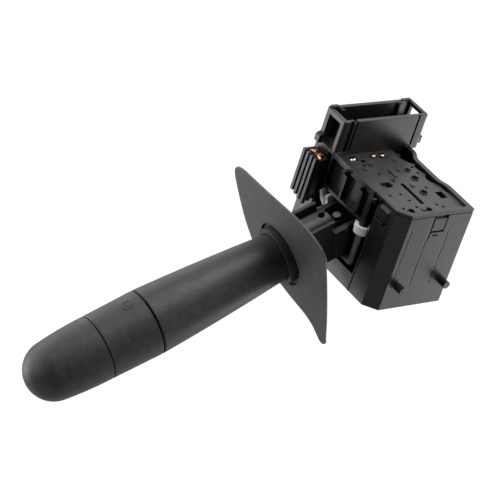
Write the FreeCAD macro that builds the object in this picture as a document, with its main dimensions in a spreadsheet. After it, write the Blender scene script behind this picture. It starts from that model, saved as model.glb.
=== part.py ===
"""Combination stalk switch: lamp lever of a steering column, as an assembly of separate pieces.

Part frame, in millimetres: the origin lies midway between the roots of the two locating pins.
+Z points up, the way the connector is pushed in. -Y is the face with the pins. -X is the side
that the lever leaves from. Pieces that tilt with the lever are drawn level, in a frame of their
own whose origin is the turn signal pivot, and their Placement tilts them.
"""
import FreeCAD, Part
import math
import os
import Sketcher
from FreeCAD import Vector
from types import SimpleNamespace

# Driving dimensions

SIZES = {
    # Housing box
    "pin_spacing": 20.8,
    "pin_radius": 1.5,
    "pin_length": 3.7,
    "box_left": 19.75,
    "box_right": 13.65,
    "box_depth": 53.5,
    "box_below": 10.1,
    "box_top": 29.4,
    "box_chamfer": 4.5,
    "box_wall": 1.8,
    "box_floor": 2.0,
    "side_step": 1.5,
    "fit_gap": 0.3,
    # Lever opening in the left wall
    "opening_front": 13.8,
    "opening_from_back": 8.0,
    "opening_sill": -3.2,
    # Terminal carrier
    "rim_height": 1.4,
    "rim_wall": 2.0,
    "skirt_drop": 14.6,
    "skirt_from_back": 10.5,
    "skirt_ledge": 1.2,
    "skirt_web": 1.4,
    "pocket_depth": 2.0,
    "rib_width": 1.1,
    "rib_pitch": 9.9,
    "latch_width": 5.8,
    "latch_height": 6.2,
    "seam": 0.35,
    "side_latch_width": 5.6,
    "post_radius": 2.0,
    "post_neck": 1.7,
    "sleeve_skin": 1.15,
    "sleeve_height": 3.2,
    "post_y": 17.4,
    "post_back": 0.4,
    # Connector socket
    "socket_left": 20.45,
    "socket_right": 18.95,
    "socket_from_back": 12.0,
    "socket_depth": 11.4,
    "socket_height": 14.3,
    "socket_wall": 1.5,
    "socket_floor": 1.6,
    "window_side": 2.4,
    "blade_width": 0.9,
    "blade_pitch": 4.0,
    "blade_row": 4.2,
    "blade_height": 7.0,
    # Contact plate and lead frame
    "plate_rise": 0.5,
    "plate_thick": 1.7,
    "lead_thick": 0.4,
    # Contact block beside the socket
    "block_out": 5.5,
    "block_from_back": 9.9,
    "block_width": 8.9,
    "block_top": 26.7,
    "block_low": 9.0,
    "block_relief": 6.8,
    "block_rib": 1.4,
    "block_pitch": 2.3,
    "block_rib_depth": 1.3,
    # Turn signal pivot, the origin of the tilted pieces
    "pivot_x": -18.75,
    "pivot_y": 30.0,
    "pivot_z": 7.2,
    "tilt": 23.8,
    "pivot_pin_radius": 1.5,
    "running_fit": 0.05,
    # Pivot bracket
    "lug_top": 3.5,
    "lug_thick": 1.6,
    "lug_nose": 2.6,
    "pin_top": 5.2,
    "bracket_half": 4.5,
    "cam_reach": 17.6,
    "cam_thick": 2.2,
    # Indicator carrier
    "hub_radius": 3.2,
    "hub_top": 1.6,
    "hub_bottom": -7.0,
    "trough_half": 6.8,
    "trough_wall": 1.3,
    "trough_top": 9.6,
    "trough_floor": -6.9,
    "trough_base": 1.3,
    "trough_end": 20.4,
    "step_at": 5.0,
    "step_top": 4.5,
    "far_step_top": 5.4,
    "wide_half": 9.6,
    "wide_front": 7.2,
    "wide_rear": 1.5,
    "wide_wall": 1.5,
    "wide_top": 7.2,
    "wide_bottom": -4.8,
    "strip_end": 6.8,
    "tail_half": 3.2,
    "tail_top": 1.4,
    "drive_at": 11.6,
    "drive_radius": 1.2,
    "drive_top": 9.4,
    # Plungers
    "plunger_radius": 1.5,
    "plunger_reach": 2.9,
    "nose_room": 1.1,
    "plunger_length": 6.0,
    "spring_wire": 0.2,
    "spring_radius": 0.72,
    # Stalk in the trough
    "dip_pivot": 15.0,
    "dip_pin_radius": 1.5,
    "shaft_half": 5.1,
    "shaft_inner": 6.1,
    "shaft_crown": 4.2,
    "shaft_bottom": -5.5,
    "crown_end": 4.4,
    "crown_low": 6.3,
    "notch_at": 6.9,
    "notch_radius": 1.25,
    "notch_depth": 3.4,
    "side_pin_at": 9.0,
    "side_pin_radius": 0.8,
    # Dip rocker
    "rocker_y": 10.5,
    "rocker_z": 2.2,
    "rocker_at": 1.2,
    "rocker_thick": 2.6,
    "rocker_pin_radius": 0.8,
    "fork_half": 1.4,
    "fork_prong": 1.15,
    "fork_rise": 4.8,
    "arm_out": 0.75,
    "arm_thick": 1.2,
    "arm_half": 1.1,
    "arm_end_half": 2.1,
    # Shield
    "shield_at": 24.5,
    "shield_thick": 0.8,
    "shield_bend": 250.0,
    "shield_hole": 12.4,
    "collar_radius": 10.9,
    "collar_bore": 9.2,
    "flange_radius": 14.6,
    # Stalk, ring and cap
    "core_radius": 6.5,
    "core_bore": 2.4,
    "journal_radius": 5.0,
    "sleeve_start": 26.5,
    "sleeve_root": 8.9,
    "sleeve_wall": 2.2,
    "sleeve_bow": 1200.0,
    "ring_junction": 80.8,
    "ring_gap": 0.7,
    "ring_radius": 12.35,
    "ring_wall": 1.8,
    "cap_junction": 100.7,
    "cap_gap": 0.35,
    "cap_radius": 12.05,
    "cap_length": 28.3,
    "nose_radius": 11.0,
    "cap_wall": 1.9,
    "head_wall": 1.4,
    # Contact sliders
    "guide_front": 18.6,
    "guide_thick": 1.2,
    "wiper_half": 1.2,
    "signal_wiper_pitch": 5.4,
    "signal_wiper_width": 5.6,
    "dip_wiper_pitch": 2.8,
    "dip_wiper_width": 1.4,
}

doc = FreeCAD.newDocument("combination_stalk_switch")
sheet = doc.addObject("Spreadsheet::Sheet", "Sizes")
for row, (alias, number) in enumerate(SIZES.items(), start=1):
    sheet.set(f"A{row}", alias)
    sheet.set(f"B{row}", str(number))
    sheet.setAlias(f"B{row}", alias)
doc.recompute()


class Size:
    """A length or angle: its present value, and the sheet expression that it comes from."""

    def __init__(self, value, text):
        self.value = value
        self.text = text

    def __add__(self, other):
        other = as_size(other)
        return Size(self.value + other.value, f"({self.text} + {other.text})")

    def __sub__(self, other):
        other = as_size(other)
        return Size(self.value - other.value, f"({self.text} - {other.text})")

    def __mul__(self, other):
        other = as_size(other)
        return Size(self.value * other.value, f"({self.text} * {other.text})")

    def __truediv__(self, other):
        other = as_size(other)
        return Size(self.value / other.value, f"({self.text} / {other.text})")

    def __radd__(self, other):
        return as_size(other) + self

    def __rsub__(self, other):
        return as_size(other) - self

    def __rmul__(self, other):
        return as_size(other) * self

    def __neg__(self):
        return as_size(0) - self


def as_size(value):
    return value if isinstance(value, Size) else Size(float(value), f"({float(value)})")


def cosine(angle):
    return Size(math.cos(math.radians(angle.value)), f"cos({angle.text} * 1 deg)")


def sine(angle):
    return Size(math.sin(math.radians(angle.value)), f"sin({angle.text} * 1 deg)")


S = SimpleNamespace(**{alias: Size(number, f"Sizes.{alias}") for alias, number in SIZES.items()})
ZERO = as_size(0)

# Drawing helpers


def bind(thing, prop, size):
    """Ties a property to the sheet."""
    thing.setExpression(prop, as_size(size).text)


def make_body(name, tilted=False):
    """A body in the part frame, or in the lever's frame, whose X axis runs along the lever."""
    body = doc.addObject("PartDesign::Body", name)
    if tilted:
        lay_along_lever(body)
    return body


def lay_along_lever(thing):
    """Moves a piece drawn level about the origin to the turn signal pivot, and tilts it."""
    tilt = -S.tilt.value
    base = Vector(S.pivot_x.value, S.pivot_y.value, S.pivot_z.value)
    thing.Placement = FreeCAD.Placement(base, FreeCAD.Rotation(Vector(0, 1, 0), tilt))
    bind(thing, "Placement.Base.x", S.pivot_x)
    bind(thing, "Placement.Base.y", S.pivot_y)
    bind(thing, "Placement.Base.z", S.pivot_z)
    bind(thing, "Placement.Rotation.Angle", -S.tilt)


def make_sketch(body, plane, at=0.0):
    """A sketch on an origin plane, XY, XZ or YZ, moved to the given place along the third axis."""
    sketch = body.newObject("Sketcher::SketchObject", f"{body.Name}_outline")
    origin_plane = [item for item in body.Origin.OriginFeatures if item.Role == f"{plane}_Plane"][0]
    sketch.AttachmentSupport = [(origin_plane, "")]
    sketch.MapMode = "FlatFace"
    # The XZ plane faces -Y
    bind(sketch, "AttachmentOffset.Base.z", -as_size(at) if plane == "XZ" else at)
    return sketch


def fix_point(sketch, geometry, position, x, y):
    """Holds one point of a sketch at two sizes, measured from the sketch's origin."""
    for kind, size in (("DistanceX", as_size(x)), ("DistanceY", as_size(y))):
        constraint = Sketcher.Constraint(kind, -1, 1, geometry, position, size.value)
        index = sketch.addConstraint(constraint)
        bind(sketch, f"Constraints[{index}]", size)


def fix_radius(sketch, geometry, radius):
    index = sketch.addConstraint(Sketcher.Constraint("Radius", geometry, as_size(radius).value))
    bind(sketch, f"Constraints[{index}]", radius)


def add_circle(sketch, x, y, radius):
    centre = Vector(as_size(x).value, as_size(y).value, 0)
    circle = Part.Circle(centre, Vector(0, 0, 1), as_size(radius).value)
    geometry = sketch.addGeometry(circle)
    fix_point(sketch, geometry, 3, x, y)
    fix_radius(sketch, geometry, radius)


def arc_between(start, end, radius, turn):
    """The short arc from start to end, turning left (1) or right (-1), run counter-clockwise."""
    middle = (start + end) * 0.5
    half = (end - start) * 0.5
    rise = math.sqrt(max(radius ** 2 - half.Length ** 2, 0.0))
    left = Vector(-half.y, half.x, 0).normalize()
    centre = middle + left * (rise * turn)
    first, last = (start, end) if turn > 0 else (end, start)
    from_angle = math.atan2(first.y - centre.y, first.x - centre.x)
    to_angle = math.atan2(last.y - centre.y, last.x - centre.x)
    circle = Part.Circle(centre, Vector(0, 0, 1), radius)
    return Part.ArcOfCircle(circle, from_angle, to_angle)


def add_outline(sketch, points):
    """A closed outline. Each point is (x, y), or (x, y, radius, turn) to reach it by an arc."""
    places = [Vector(as_size(point[0]).value, as_size(point[1]).value, 0) for point in points]
    ends = []
    for index, point in enumerate(points):
        start, end = places[index - 1], places[index]
        if len(point) == 2:
            geometry = sketch.addGeometry(Part.LineSegment(start, end))
            ends.append((geometry, 1, 2))
        else:
            radius, turn = point[2], point[3]
            arc = arc_between(start, end, as_size(radius).value, turn)
            geometry = sketch.addGeometry(arc)
            ends.append((geometry, 1, 2) if turn > 0 else (geometry, 2, 1))
    for index, (geometry, first, last) in enumerate(ends):
        following = ends[(index + 1) % len(ends)]
        sketch.addConstraint(Sketcher.Constraint("Coincident", geometry, last, following[0], following[1]))
        fix_point(sketch, geometry, last, points[index][0], points[index][1])
        if len(points[index]) > 2:
            fix_radius(sketch, geometry, points[index][2])


def add_rectangle(sketch, x0, y0, x1, y1):
    add_outline(sketch, [(x0, y0), (x1, y0), (x1, y1), (x0, y1)])


def add_rounded(sketch, x0, y0, x1, y1, radius):
    """A rectangle with round corners, from its low corner to its high one."""
    add_outline(sketch, [
        (x0 + radius, y0), (x1 - radius, y0), (x1, y0 + radius, radius, 1), (x1, y1 - radius),
        (x1 - radius, y1, radius, 1), (x0 + radius, y1), (x0, y1 - radius, radius, 1),
        (x0, y0 + radius), (x0 + radius, y0, radius, 1)][1:])


def extrude(body, sketch, length, kind="Pad", both=False, back=False):
    """Pads or pockets a sketch: along its normal, against it, or half each way."""
    feature = body.newObject(f"PartDesign::{kind}", f"{body.Name}_{kind.lower()}")
    feature.Profile = sketch
    feature.Midplane = both
    feature.Reversed = back
    bind(feature, "Length", length)
    doc.recompute()
    return feature


def pad(body, sketch, length, both=False, back=False):
    return extrude(body, sketch, length, "Pad", both, back)


def pocket(body, sketch, length, both=False, back=False):
    """Cuts along the sketch's normal when back is set, and against it otherwise."""
    before = body.Shape.Volume
    feature = extrude(body, sketch, length, "Pocket", both, back)
    if body.Shape.Volume > before - 1e-6:
        raise RuntimeError(f"{feature.Name} cuts nothing")
    return feature


def turn(body, sketch):
    """Turns a sketch about its horizontal axis."""
    feature = body.newObject("PartDesign::Revolution", f"{body.Name}_revolution")
    feature.Profile = sketch
    feature.ReferenceAxis = (sketch, ["H_Axis"])
    feature.Angle = 360
    doc.recompute()
    return feature


def turned(name, points):
    """A body turned about the lever's axis from points (distance out along the lever, radius)."""
    body = make_body(name, tilted=True)
    sketch = make_sketch(body, "XZ")
    add_outline(sketch, [(-as_size(point[0]), *point[1:]) for point in points])
    turn(body, sketch)
    return body


def make_box(name, x0, y0, z0, x1, y1, z1):
    box = doc.addObject("Part::Box", name)
    bind(box, "Length", x1 - x0)
    bind(box, "Width", y1 - y0)
    bind(box, "Height", z1 - z0)
    place(box, x0, y0, z0)
    return box


def place(thing, x, y, z, axis=(0, 0, 1)):
    thing.Placement = FreeCAD.Placement(Vector(0, 0, 0), FreeCAD.Rotation(Vector(0, 0, 1), Vector(*axis)))
    bind(thing, "Placement.Base.x", x)
    bind(thing, "Placement.Base.y", y)
    bind(thing, "Placement.Base.z", z)


def make_group(name, solids, tilted=False):
    """One node that holds several separate solids."""
    group = doc.addObject("Part::Compound", name)
    group.Links = solids
    if tilted:
        lay_along_lever(group)
    doc.recompute()
    return group


# Housing box


def bend_radius(across, along):
    """Radius of each arc of a smooth S bend whose half steps across and along are given."""
    return (across * across + along * along) / (across * 2)


def box_outline(inset):
    """The plan of the box, with its chamfer at the front left and the waist in its right side."""
    left = inset - S.box_left
    right = S.box_right - inset
    back = S.box_depth - inset
    chamfer = S.box_chamfer - inset * 0.41
    step = S.side_step / 2
    run, long_run = as_size(3.0), as_size(3.4)
    inward, outward = bend_radius(step, run), bend_radius(step * 1.6, long_run)
    waist = right - S.side_step
    return [
        (left + chamfer, inset), (right, inset), (right, as_size(14.0)),
        (right - step, 14.0 + run, inward, 1), (waist, 14.0 + run * 2, inward, -1),
        (waist, as_size(31.4)), (waist + step * 1.6, 31.4 + long_run, outward, -1),
        (waist + step * 3.2, 31.4 + long_run * 2, outward, 1),
        (waist + step * 3.2, back), (left, back), (left, inset + chamfer)]


def housing_shell():
    body = make_body("housing_shell")
    sketch = make_sketch(body, "XY", -S.box_below)
    add_outline(sketch, box_outline(ZERO))
    pad(body, sketch, S.box_top + S.box_below)
    sketch = make_sketch(body, "XY", S.box_floor - S.box_below)
    add_outline(sketch, box_outline(S.box_wall))
    pocket(body, sketch, S.box_top + S.box_below, back=True)
    # The lever opening runs from its sill to the top
    sketch = make_sketch(body, "YZ", -S.box_left - 1)
    add_rectangle(sketch, S.opening_front, S.opening_sill, S.opening_back, S.box_top + 1)
    pocket(body, sketch, S.box_wall + 2, back=True)
    # Recess for the front snap tongue, and the short slot below it
    sketch = make_sketch(body, "XZ", -1.0)
    middle = S.latch_middle
    low = S.box_top - S.latch_height - 0.9
    add_outline(sketch, [
        (middle - S.latch_width / 2 - 0.8, low - 3.4), (middle - S.latch_width / 2 - 0.4, low - 3.4),
        (middle - S.latch_width / 2 - 0.1, low), (middle + S.latch_width / 2 + 0.12, low),
        (middle + S.latch_width / 2 + 0.12, S.box_top + 1), (middle - S.latch_width / 2 - 0.9, S.box_top + 1)])
    pocket(body, sketch, S.box_wall + 2)
    sketch = make_sketch(body, "XZ", -1.0)
    add_rectangle(sketch, middle - 1.8, low - 1.5, middle + 0.7, low - 0.9)
    pocket(body, sketch, S.box_wall + 2)
    # Window for the side snap tongue, with a V notch in its lower edge
    sketch = make_sketch(body, "YZ", -S.box_left - 1)
    front = S.side_latch_front
    low = S.box_top - S.latch_height - 0.7
    add_outline(sketch, [
        (front - 0.3, low), (front + 0.3, low), (front + 0.9, low - 1.2), (front + 1.5, low),
        (front + S.side_latch_width + 0.3, low), (front + S.side_latch_width + 0.3, S.box_top + 1),
        (front - 0.3, S.box_top + 1)])
    pocket(body, sketch, S.box_wall + 2, back=True)
    # Three fine grooves down the front face
    sketch = make_sketch(body, "XZ", -1.0)
    groove = 0.35
    for x, top, bottom in ((-13.6, 5.0, 30.3), (-4.9, 10.2, 29.9), (4.5, 6.7, 30.4)):
        add_rectangle(sketch, as_size(x), S.box_top - bottom, as_size(x + groove), S.box_top - top)
    pocket(body, sketch, 1.0 + groove)
    # Two locating pins with rounded ends
    for side in (-1, 1):
        sketch = make_sketch(body, "XZ", 0)
        add_circle(sketch, S.pin_spacing / 2 * side, ZERO, S.pin_radius)
        pad(body, sketch, S.pin_length)
    # Ledges that the contact plate lies on
    sketch = make_sketch(body, "XY", S.plate_bottom - 4.0)
    for x in (-13.0, 4.6):
        add_rectangle(sketch, as_size(x), S.box_wall - 0.1, as_size(x + 6.0), S.box_wall + 1.4)
    pad(body, sketch, as_size(4.0))
    sketch = make_sketch(body, "XY", S.guide_top + S.fit_gap)
    waist = S.box_right - S.side_step - S.box_wall
    add_rectangle(sketch, waist - 1.3, as_size(23.0), waist + 0.1, as_size(28.0))
    pad(body, sketch, S.plate_bottom - S.guide_top - S.fit_gap)
    # Fine upright rib on the left wall, beside the lever opening
    sketch = make_sketch(body, "XY", -S.box_below)
    add_rectangle(sketch, -S.box_left - 0.25, S.opening_front - 0.6, 0.1 - S.box_left, S.opening_front - 0.1)
    pad(body, sketch, S.box_below + S.skirt_bottom - S.fit_gap)
    # Sloping ribs that carry the pivot bracket
    for y in (S.pivot_y - S.bracket_half + 0.4, S.pivot_y + S.bracket_half - 2.0):
        sketch = make_sketch(body, "XZ", y)
        near = S.seat_near
        far = S.seat_far
        add_outline(sketch, [
            (near.x, S.box_floor - S.box_below - 0.1), (far.x, S.box_floor - S.box_below - 0.1),
            (far.x, far.z), (near.x, near.z)])
        pad(body, sketch, 1.6, back=True)
    return body


def lever_point(x, z):
    """A point of the lever's frame, given in its X and Z, in the part frame."""
    return SimpleNamespace(
        x=S.pivot_x + x * cosine(S.tilt) - z * sine(S.tilt),
        z=S.pivot_z + x * sine(S.tilt) + z * cosine(S.tilt))


S.latch_middle = as_size(-0.75)
S.post_x = S.post_back - S.box_left
S.opening_back = S.box_depth - S.opening_from_back
S.skirt_back = S.box_depth - S.skirt_from_back
S.socket_front = S.box_depth - S.socket_from_back
S.block_front = S.box_depth - S.block_from_back
S.tail_length = S.cam_reach - S.nose_room - S.plunger_reach
S.side_latch_front = S.box_chamfer + 2.7
S.lug_bottom = S.hub_bottom - S.fit_gap
S.dip_plunger_z = as_size(3.4)
S.dip_face = as_size(-4.2)
S.core_start = S.shield_at - 2.9
S.seat_near = lever_point(as_size(-1.0), S.lug_bottom - S.lug_thick)
S.seat_far = lever_point(S.cam_reach - 1.0, S.lug_bottom - S.lug_thick)
S.skirt_bottom = S.box_top + S.rim_height - S.skirt_drop
S.sleeve_top = S.skirt_bottom - S.fit_gap
S.plate_top = S.box_top + S.plate_rise
S.plate_bottom = S.plate_top - S.plate_thick
S.guide_top = S.plate_bottom - S.lead_thick - 2.4
S.guide_left = S.box_wall + 1.5 - S.box_left
S.ring_start = S.ring_junction + S.ring_gap / 2
S.ring_end = S.cap_junction - S.cap_gap / 2
S.cap_start = S.cap_junction + S.cap_gap / 2
S.sleeve_end = S.ring_junction - S.ring_gap / 2


# Terminal carrier with its rim, ribbed skirt, post, tongues and socket


def terminal_carrier():
    body = make_body("terminal_carrier")
    sketch = make_sketch(body, "XY", S.box_top)
    add_outline(sketch, box_outline(ZERO))
    add_outline(sketch, box_outline(S.rim_wall))
    pad(body, sketch, S.rim_height)
    # Shadow seam where the rim meets the box
    sketch = make_sketch(body, "XY", S.box_top + S.seam)
    add_outline(sketch, box_outline(ZERO - 1.0))
    add_outline(sketch, box_outline(S.seam))
    pocket(body, sketch, S.seam + 0.1)
    # Left skirt with three ribs, a ledge along its foot and a round column at its front end
    left = -S.box_left - 0.5
    column = S.opening_front + 0.9 + S.post_radius
    sketch = make_sketch(body, "YZ", left)
    add_rectangle(sketch, column, S.skirt_bottom, S.skirt_back, S.box_top + S.rim_height)
    pad(body, sketch, S.pocket_depth + S.skirt_web)
    sketch = make_sketch(body, "YZ", left - 1)
    for bay in range(3):
        back = S.skirt_back - S.rib_width - S.rib_pitch * bay
        front = column + S.post_radius if bay == 2 else back - S.rib_pitch + S.rib_width
        add_rectangle(sketch, front, S.skirt_bottom + S.skirt_ledge, back, S.box_top - 0.9)
    pocket(body, sketch, S.pocket_depth + 1, back=True)
    # Seat in the skirt's inner top edge for the contact plate
    sketch = make_sketch(body, "XY", S.box_top + S.rim_height + 1)
    add_rectangle(sketch, S.rim_wall - S.box_left, S.opening_front, left + 5.0, S.socket_front)
    pocket(body, sketch, S.rim_height + S.box_top + 1 - S.plate_bottom + 0.15)
    sketch = make_sketch(body, "XY", S.skirt_bottom)
    add_circle(sketch, left + S.post_radius, column, S.post_radius)
    add_rectangle(sketch, left + S.post_radius, column - S.post_radius, left + 3.4, column + 0.6)
    pad(body, sketch, S.skirt_drop)
    # Neck under the column, that the cancel sleeve turns on
    sketch = make_sketch(body, "XY", S.skirt_bottom + 0.1)
    add_circle(sketch, S.post_x, S.post_y, S.post_neck)
    pad(body, sketch, S.sleeve_height + S.fit_gap + 0.25, back=True)
    socket_walls(body)
    snap_tongues(body)
    return body


def socket_walls(body):
    """The open connector socket with its two side windows, key grooves and floor."""
    left, right = -S.socket_left, S.socket_right
    front, back = S.socket_front, S.socket_front + S.socket_depth
    wall, top = S.socket_wall, S.box_top + S.socket_height
    sketch = make_sketch(body, "XY", S.box_top)
    add_rounded(sketch, left, front, right, back, as_size(0.9))
    pad(body, sketch, S.socket_height)
    sketch = make_sketch(body, "XY", S.box_top)
    inside = S.box_wall + 0.2
    add_rectangle(sketch, inside - S.box_left, front, S.box_right + 0.7 - inside, S.box_depth - inside)
    pad(body, sketch, S.plate_thick, back=True)
    sketch = make_sketch(body, "XY", S.box_top + S.socket_floor)
    add_rectangle(sketch, left + wall, front + wall, right - wall, back - wall)
    pocket(body, sketch, S.socket_height, back=True)
    # Tall window at the left end, low one at the right end near the mouth
    sketch = make_sketch(body, "YZ", left - 1)
    add_rectangle(sketch, front + S.window_side, S.box_top + 1.0, back - S.window_side, top - 1.9)
    pocket(body, sketch, wall + 2, back=True)
    sketch = make_sketch(body, "YZ", right + 1)
    add_rectangle(sketch, front + S.window_side, top - 7.2, back - S.window_side, top - 1.4)
    pocket(body, sketch, wall + 2)
    # Key grooves in the front wall, outside, and a notch in its top edge
    sketch = make_sketch(body, "XZ", front - 1)
    for x, width in ((left + 2.6, 1.9), (left + 5.4, 0.8), (right - 4.7, 0.9)):
        add_rectangle(sketch, x, S.box_top + S.rim_height, x + width, top + 1)
    pocket(body, sketch, 1.7)
    sketch = make_sketch(body, "XZ", front - 1)
    add_rectangle(sketch, left + 4.6, top - 0.7, left + 6.2, top + 1)
    pocket(body, sketch, wall + 2)
    # Key ribs inside the back wall, and raised corners on its top edge
    sketch = make_sketch(body, "XY", S.box_top + S.socket_floor)
    for x in (left + 5.0, right - 7.0):
        add_rectangle(sketch, x, back - wall - 1.1, x + 1.6, back - wall)
    pad(body, sketch, S.socket_height - S.socket_floor - 0.6)
    sketch = make_sketch(body, "XY", top)
    for x, length in ((left + 1.0, 3.2), (right - 5.0, 4.0)):
        add_rectangle(sketch, x, back - wall, x + length, back - 0.2)
    pad(body, sketch, as_size(0.6))
    # Hook on the right end for the connector's lever
    sketch = make_sketch(body, "XZ", front + 3.6)
    add_outline(sketch, [
        (right, S.box_top + 1.6), (right + 1.3, S.box_top + 1.6), (right + 1.3, S.box_top + 4.6),
        (right + 0.7, S.box_top + 4.6), (right, S.box_top + 3.2)])
    pad(body, sketch, 3.0)


def snap_tongues(body):
    """The front and side tongues that snap into the box."""
    middle = S.latch_middle
    top, low = S.box_top, S.box_top - S.latch_height - 0.8
    sketch = make_sketch(body, "YZ", middle - S.latch_width / 2)
    add_outline(sketch, [
        (as_size(0.15), low + 0.6), (as_size(0.7), low), (as_size(1.65), low), (as_size(1.65), top),
        (as_size(1.65), top + 0.3), (as_size(0.9), top + 0.3), (as_size(0.9), top - 0.9),
        (as_size(0.15), top - 1.3)])
    pad(body, sketch, S.latch_width)
    wall = -S.box_left
    sketch = make_sketch(body, "XZ", S.side_latch_front)
    add_outline(sketch, [
        (wall - 0.25, low + 1.1), (wall + 0.5, low + 0.3), (wall + 1.6, low + 0.3),
        (wall + 1.6, top + 0.3), (wall + 0.8, top + 0.3), (wall + 0.8, top - 0.9),
        (wall - 0.25, top - 1.9)])
    pad(body, sketch, S.side_latch_width, back=True)


# Contact plate, lead frame, terminals


def contact_plate():
    """The pierced plate inside the rim, with its ragged right edge."""
    body = make_body("contact_plate")
    gap = 0.15
    left = -S.box_left + S.rim_wall + gap
    front = S.rim_wall + gap
    back = S.socket_front - gap
    right = S.box_right
    chamfer = S.box_chamfer - S.rim_wall * 0.41
    sketch = make_sketch(body, "XY", S.plate_bottom)
    edge = [(-2.1, 2.6), (-2.1, 10.5), (-3.2, 13.2), (-3.2, 17.5), (-5.1, 19.4), (-5.9, 21.6),
            (-4.8, 23.4), (-3.8, 24.2), (-4.8, 26.4), (-5.3, 29.6), (-3.8, 30.8), (-5.6, 31.8),
            (-7.4, 35.2)]
    add_outline(sketch, [(left + chamfer, front), (right - 2.1, front)]
                + [(right + x, as_size(y)) for x, y in edge]
                + [(right - 7.4, back), (left, back), (left, front + chamfer)])
    pad(body, sketch, S.plate_thick)
    pierce_plate(body)
    return body


def pierce_plate(body):
    """Round holes, one long slot, a square and a keyhole, all through the plate."""
    right = S.box_right
    sketch = make_sketch(body, "XY", S.plate_top + 1)
    large, medium, small = 1.3, 0.95, 0.6
    holes = {
        large: ((-26.3, 4.1), (-18.5, 3.7), (-12.9, 13.9), (-10.3, 22.7)),
        medium: ((-9.9, 27.9), (-24.6, 36.2), (-15.2, 37.6)),
        small: ((-28.3, 14.4), (-23.4, 14.6), (-9.7, 16.6), (-12.7, 6.2), (-22.2, 6.3),
                (-28.3, 6.3), (-6.6, 29.4), (-6.6, 25.6), (-18.2, 27.9), (-23.7, 27.6),
                (-26.0, 33.6), (-19.8, 38.6)),
    }
    for radius, places in holes.items():
        for x, y in places:
            add_circle(sketch, right + x, as_size(y), as_size(radius))
    # Long slot, rectangular window, short dash and two openings by the socket
    for x0, y0, x1, y1 in ((-19.1, 7.6, -17.4, 20.6), (-8.1, 9.3, -5.0, 13.4),
                           (-23.3, 10.1, -21.6, 10.8), (-29.4, 36.9, -26.4, 39.6),
                           (-18.6, 37.9, -16.6, 40.2), (-14.9, 37.6, -12.6, 39.9)):
        add_rectangle(sketch, right + x0, as_size(y0), right + x1, as_size(y1))
    # Keyhole with a ring left standing in it
    add_rounded(sketch, right - 27.9, as_size(19.2), right - 22.6, as_size(22.4), 1.5)
    pocket(body, sketch, S.plate_thick + 2)
    # Raised bar, ring in the keyhole and low bosses
    sketch = make_sketch(body, "XY", S.plate_top)
    add_rounded(sketch, right - 18.1, as_size(24.4), right - 16.1, as_size(30.0), 0.8)
    for x, y, radius in ((-14.3, 18.8, 1.1), (-20.3, 4.6, 0.9), (-22.6, 33.9, 1.3),
                         (-27.3, 31.3, 1.2), (-10.4, 34.6, 1.4), (-13.4, 28.6, 1.0),
                         (-10.4, 5.0, 0.7)):
        add_circle(sketch, right + x, as_size(y), as_size(radius))
    pad(body, sketch, 0.35)


def lead_frame():
    """Five copper strips under the plate, joined to the terminals at the socket."""
    right = S.box_right
    body = make_body("lead_frame")
    body.AllowCompound = True
    sketch = make_sketch(body, "XY", S.plate_bottom - S.lead_thick)
    back = S.socket_front - 0.4
    strips = ((-30.3, -26.6, 31.5), (-25.9, -23.6, 18.0), (-22.6, -20.4, 33.0),
              (-19.0, -17.0, 34.5), (-15.4, -10.4, 13.0))
    for x0, x1, start in strips:
        add_rectangle(sketch, right + x0, as_size(start), right + x1, back)
    pad(body, sketch, S.lead_thick)
    return body


def connector_terminals():
    """Two rows of blades that stand up from the socket's floor."""
    rows = (S.socket_front + S.socket_depth / 2 - S.blade_row / 2,
            S.socket_front + S.socket_depth / 2 + S.blade_row / 2)
    middle = (S.socket_right - S.socket_left) / 2
    low = S.box_top + S.socket_floor
    blades = []
    for row, y in enumerate(rows):
        for column in range(8):
            x = middle + S.blade_pitch * (column - 3.5)
            blades.append(make_box(
                f"blade_{row}_{column}", x - S.blade_width / 2, y - S.blade_width / 2, low,
                x + S.blade_width / 2, y + S.blade_width / 2, low + S.blade_height))
    return make_group("connector_terminals", blades)


def contact_block():
    """The ribbed block that clips on beside the socket."""
    body = make_body("contact_block")
    inner = -S.box_left - 0.55
    outer = inner - S.block_out
    front, back = S.block_front, S.block_front + S.block_width
    sketch = make_sketch(body, "XY", S.block_low)
    add_rectangle(sketch, outer + S.block_rib_depth, front, inner, back)
    pad(body, sketch, S.block_top - S.block_low)
    # Ribs, each a little longer than the one behind it
    for number in range(4):
        y = back - S.block_rib - S.block_pitch * number
        sketch = make_sketch(body, "XY", S.block_top - 17.6 - 0.5 * number)
        add_rectangle(sketch, outer, y, outer + S.block_rib_depth, y + S.block_rib)
        pad(body, sketch, 17.6 + 0.5 * number)
    # Trough along the top for the leaf spring
    sketch = make_sketch(body, "XY", S.block_top + 1)
    add_rectangle(sketch, inner - 4.2, front + 0.9, inner - 0.9, back - 0.9)
    pocket(body, sketch, as_size(2.6))
    # Relief for the swing of the dip rocker
    sketch = make_sketch(body, "XY", S.block_low + S.block_relief)
    add_rectangle(sketch, inner - 2.8, front - 1, inner + 1, front + 1.1)
    pocket(body, sketch, S.block_relief + 1)
    # Foot that bears on the box's left wall
    sketch = make_sketch(body, "XY", S.block_low + 6)
    add_rectangle(sketch, inner - 0.2, S.opening_back + 0.6, -S.box_left, back - 1.0)
    pad(body, sketch, as_size(9.0))
    return body


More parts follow.
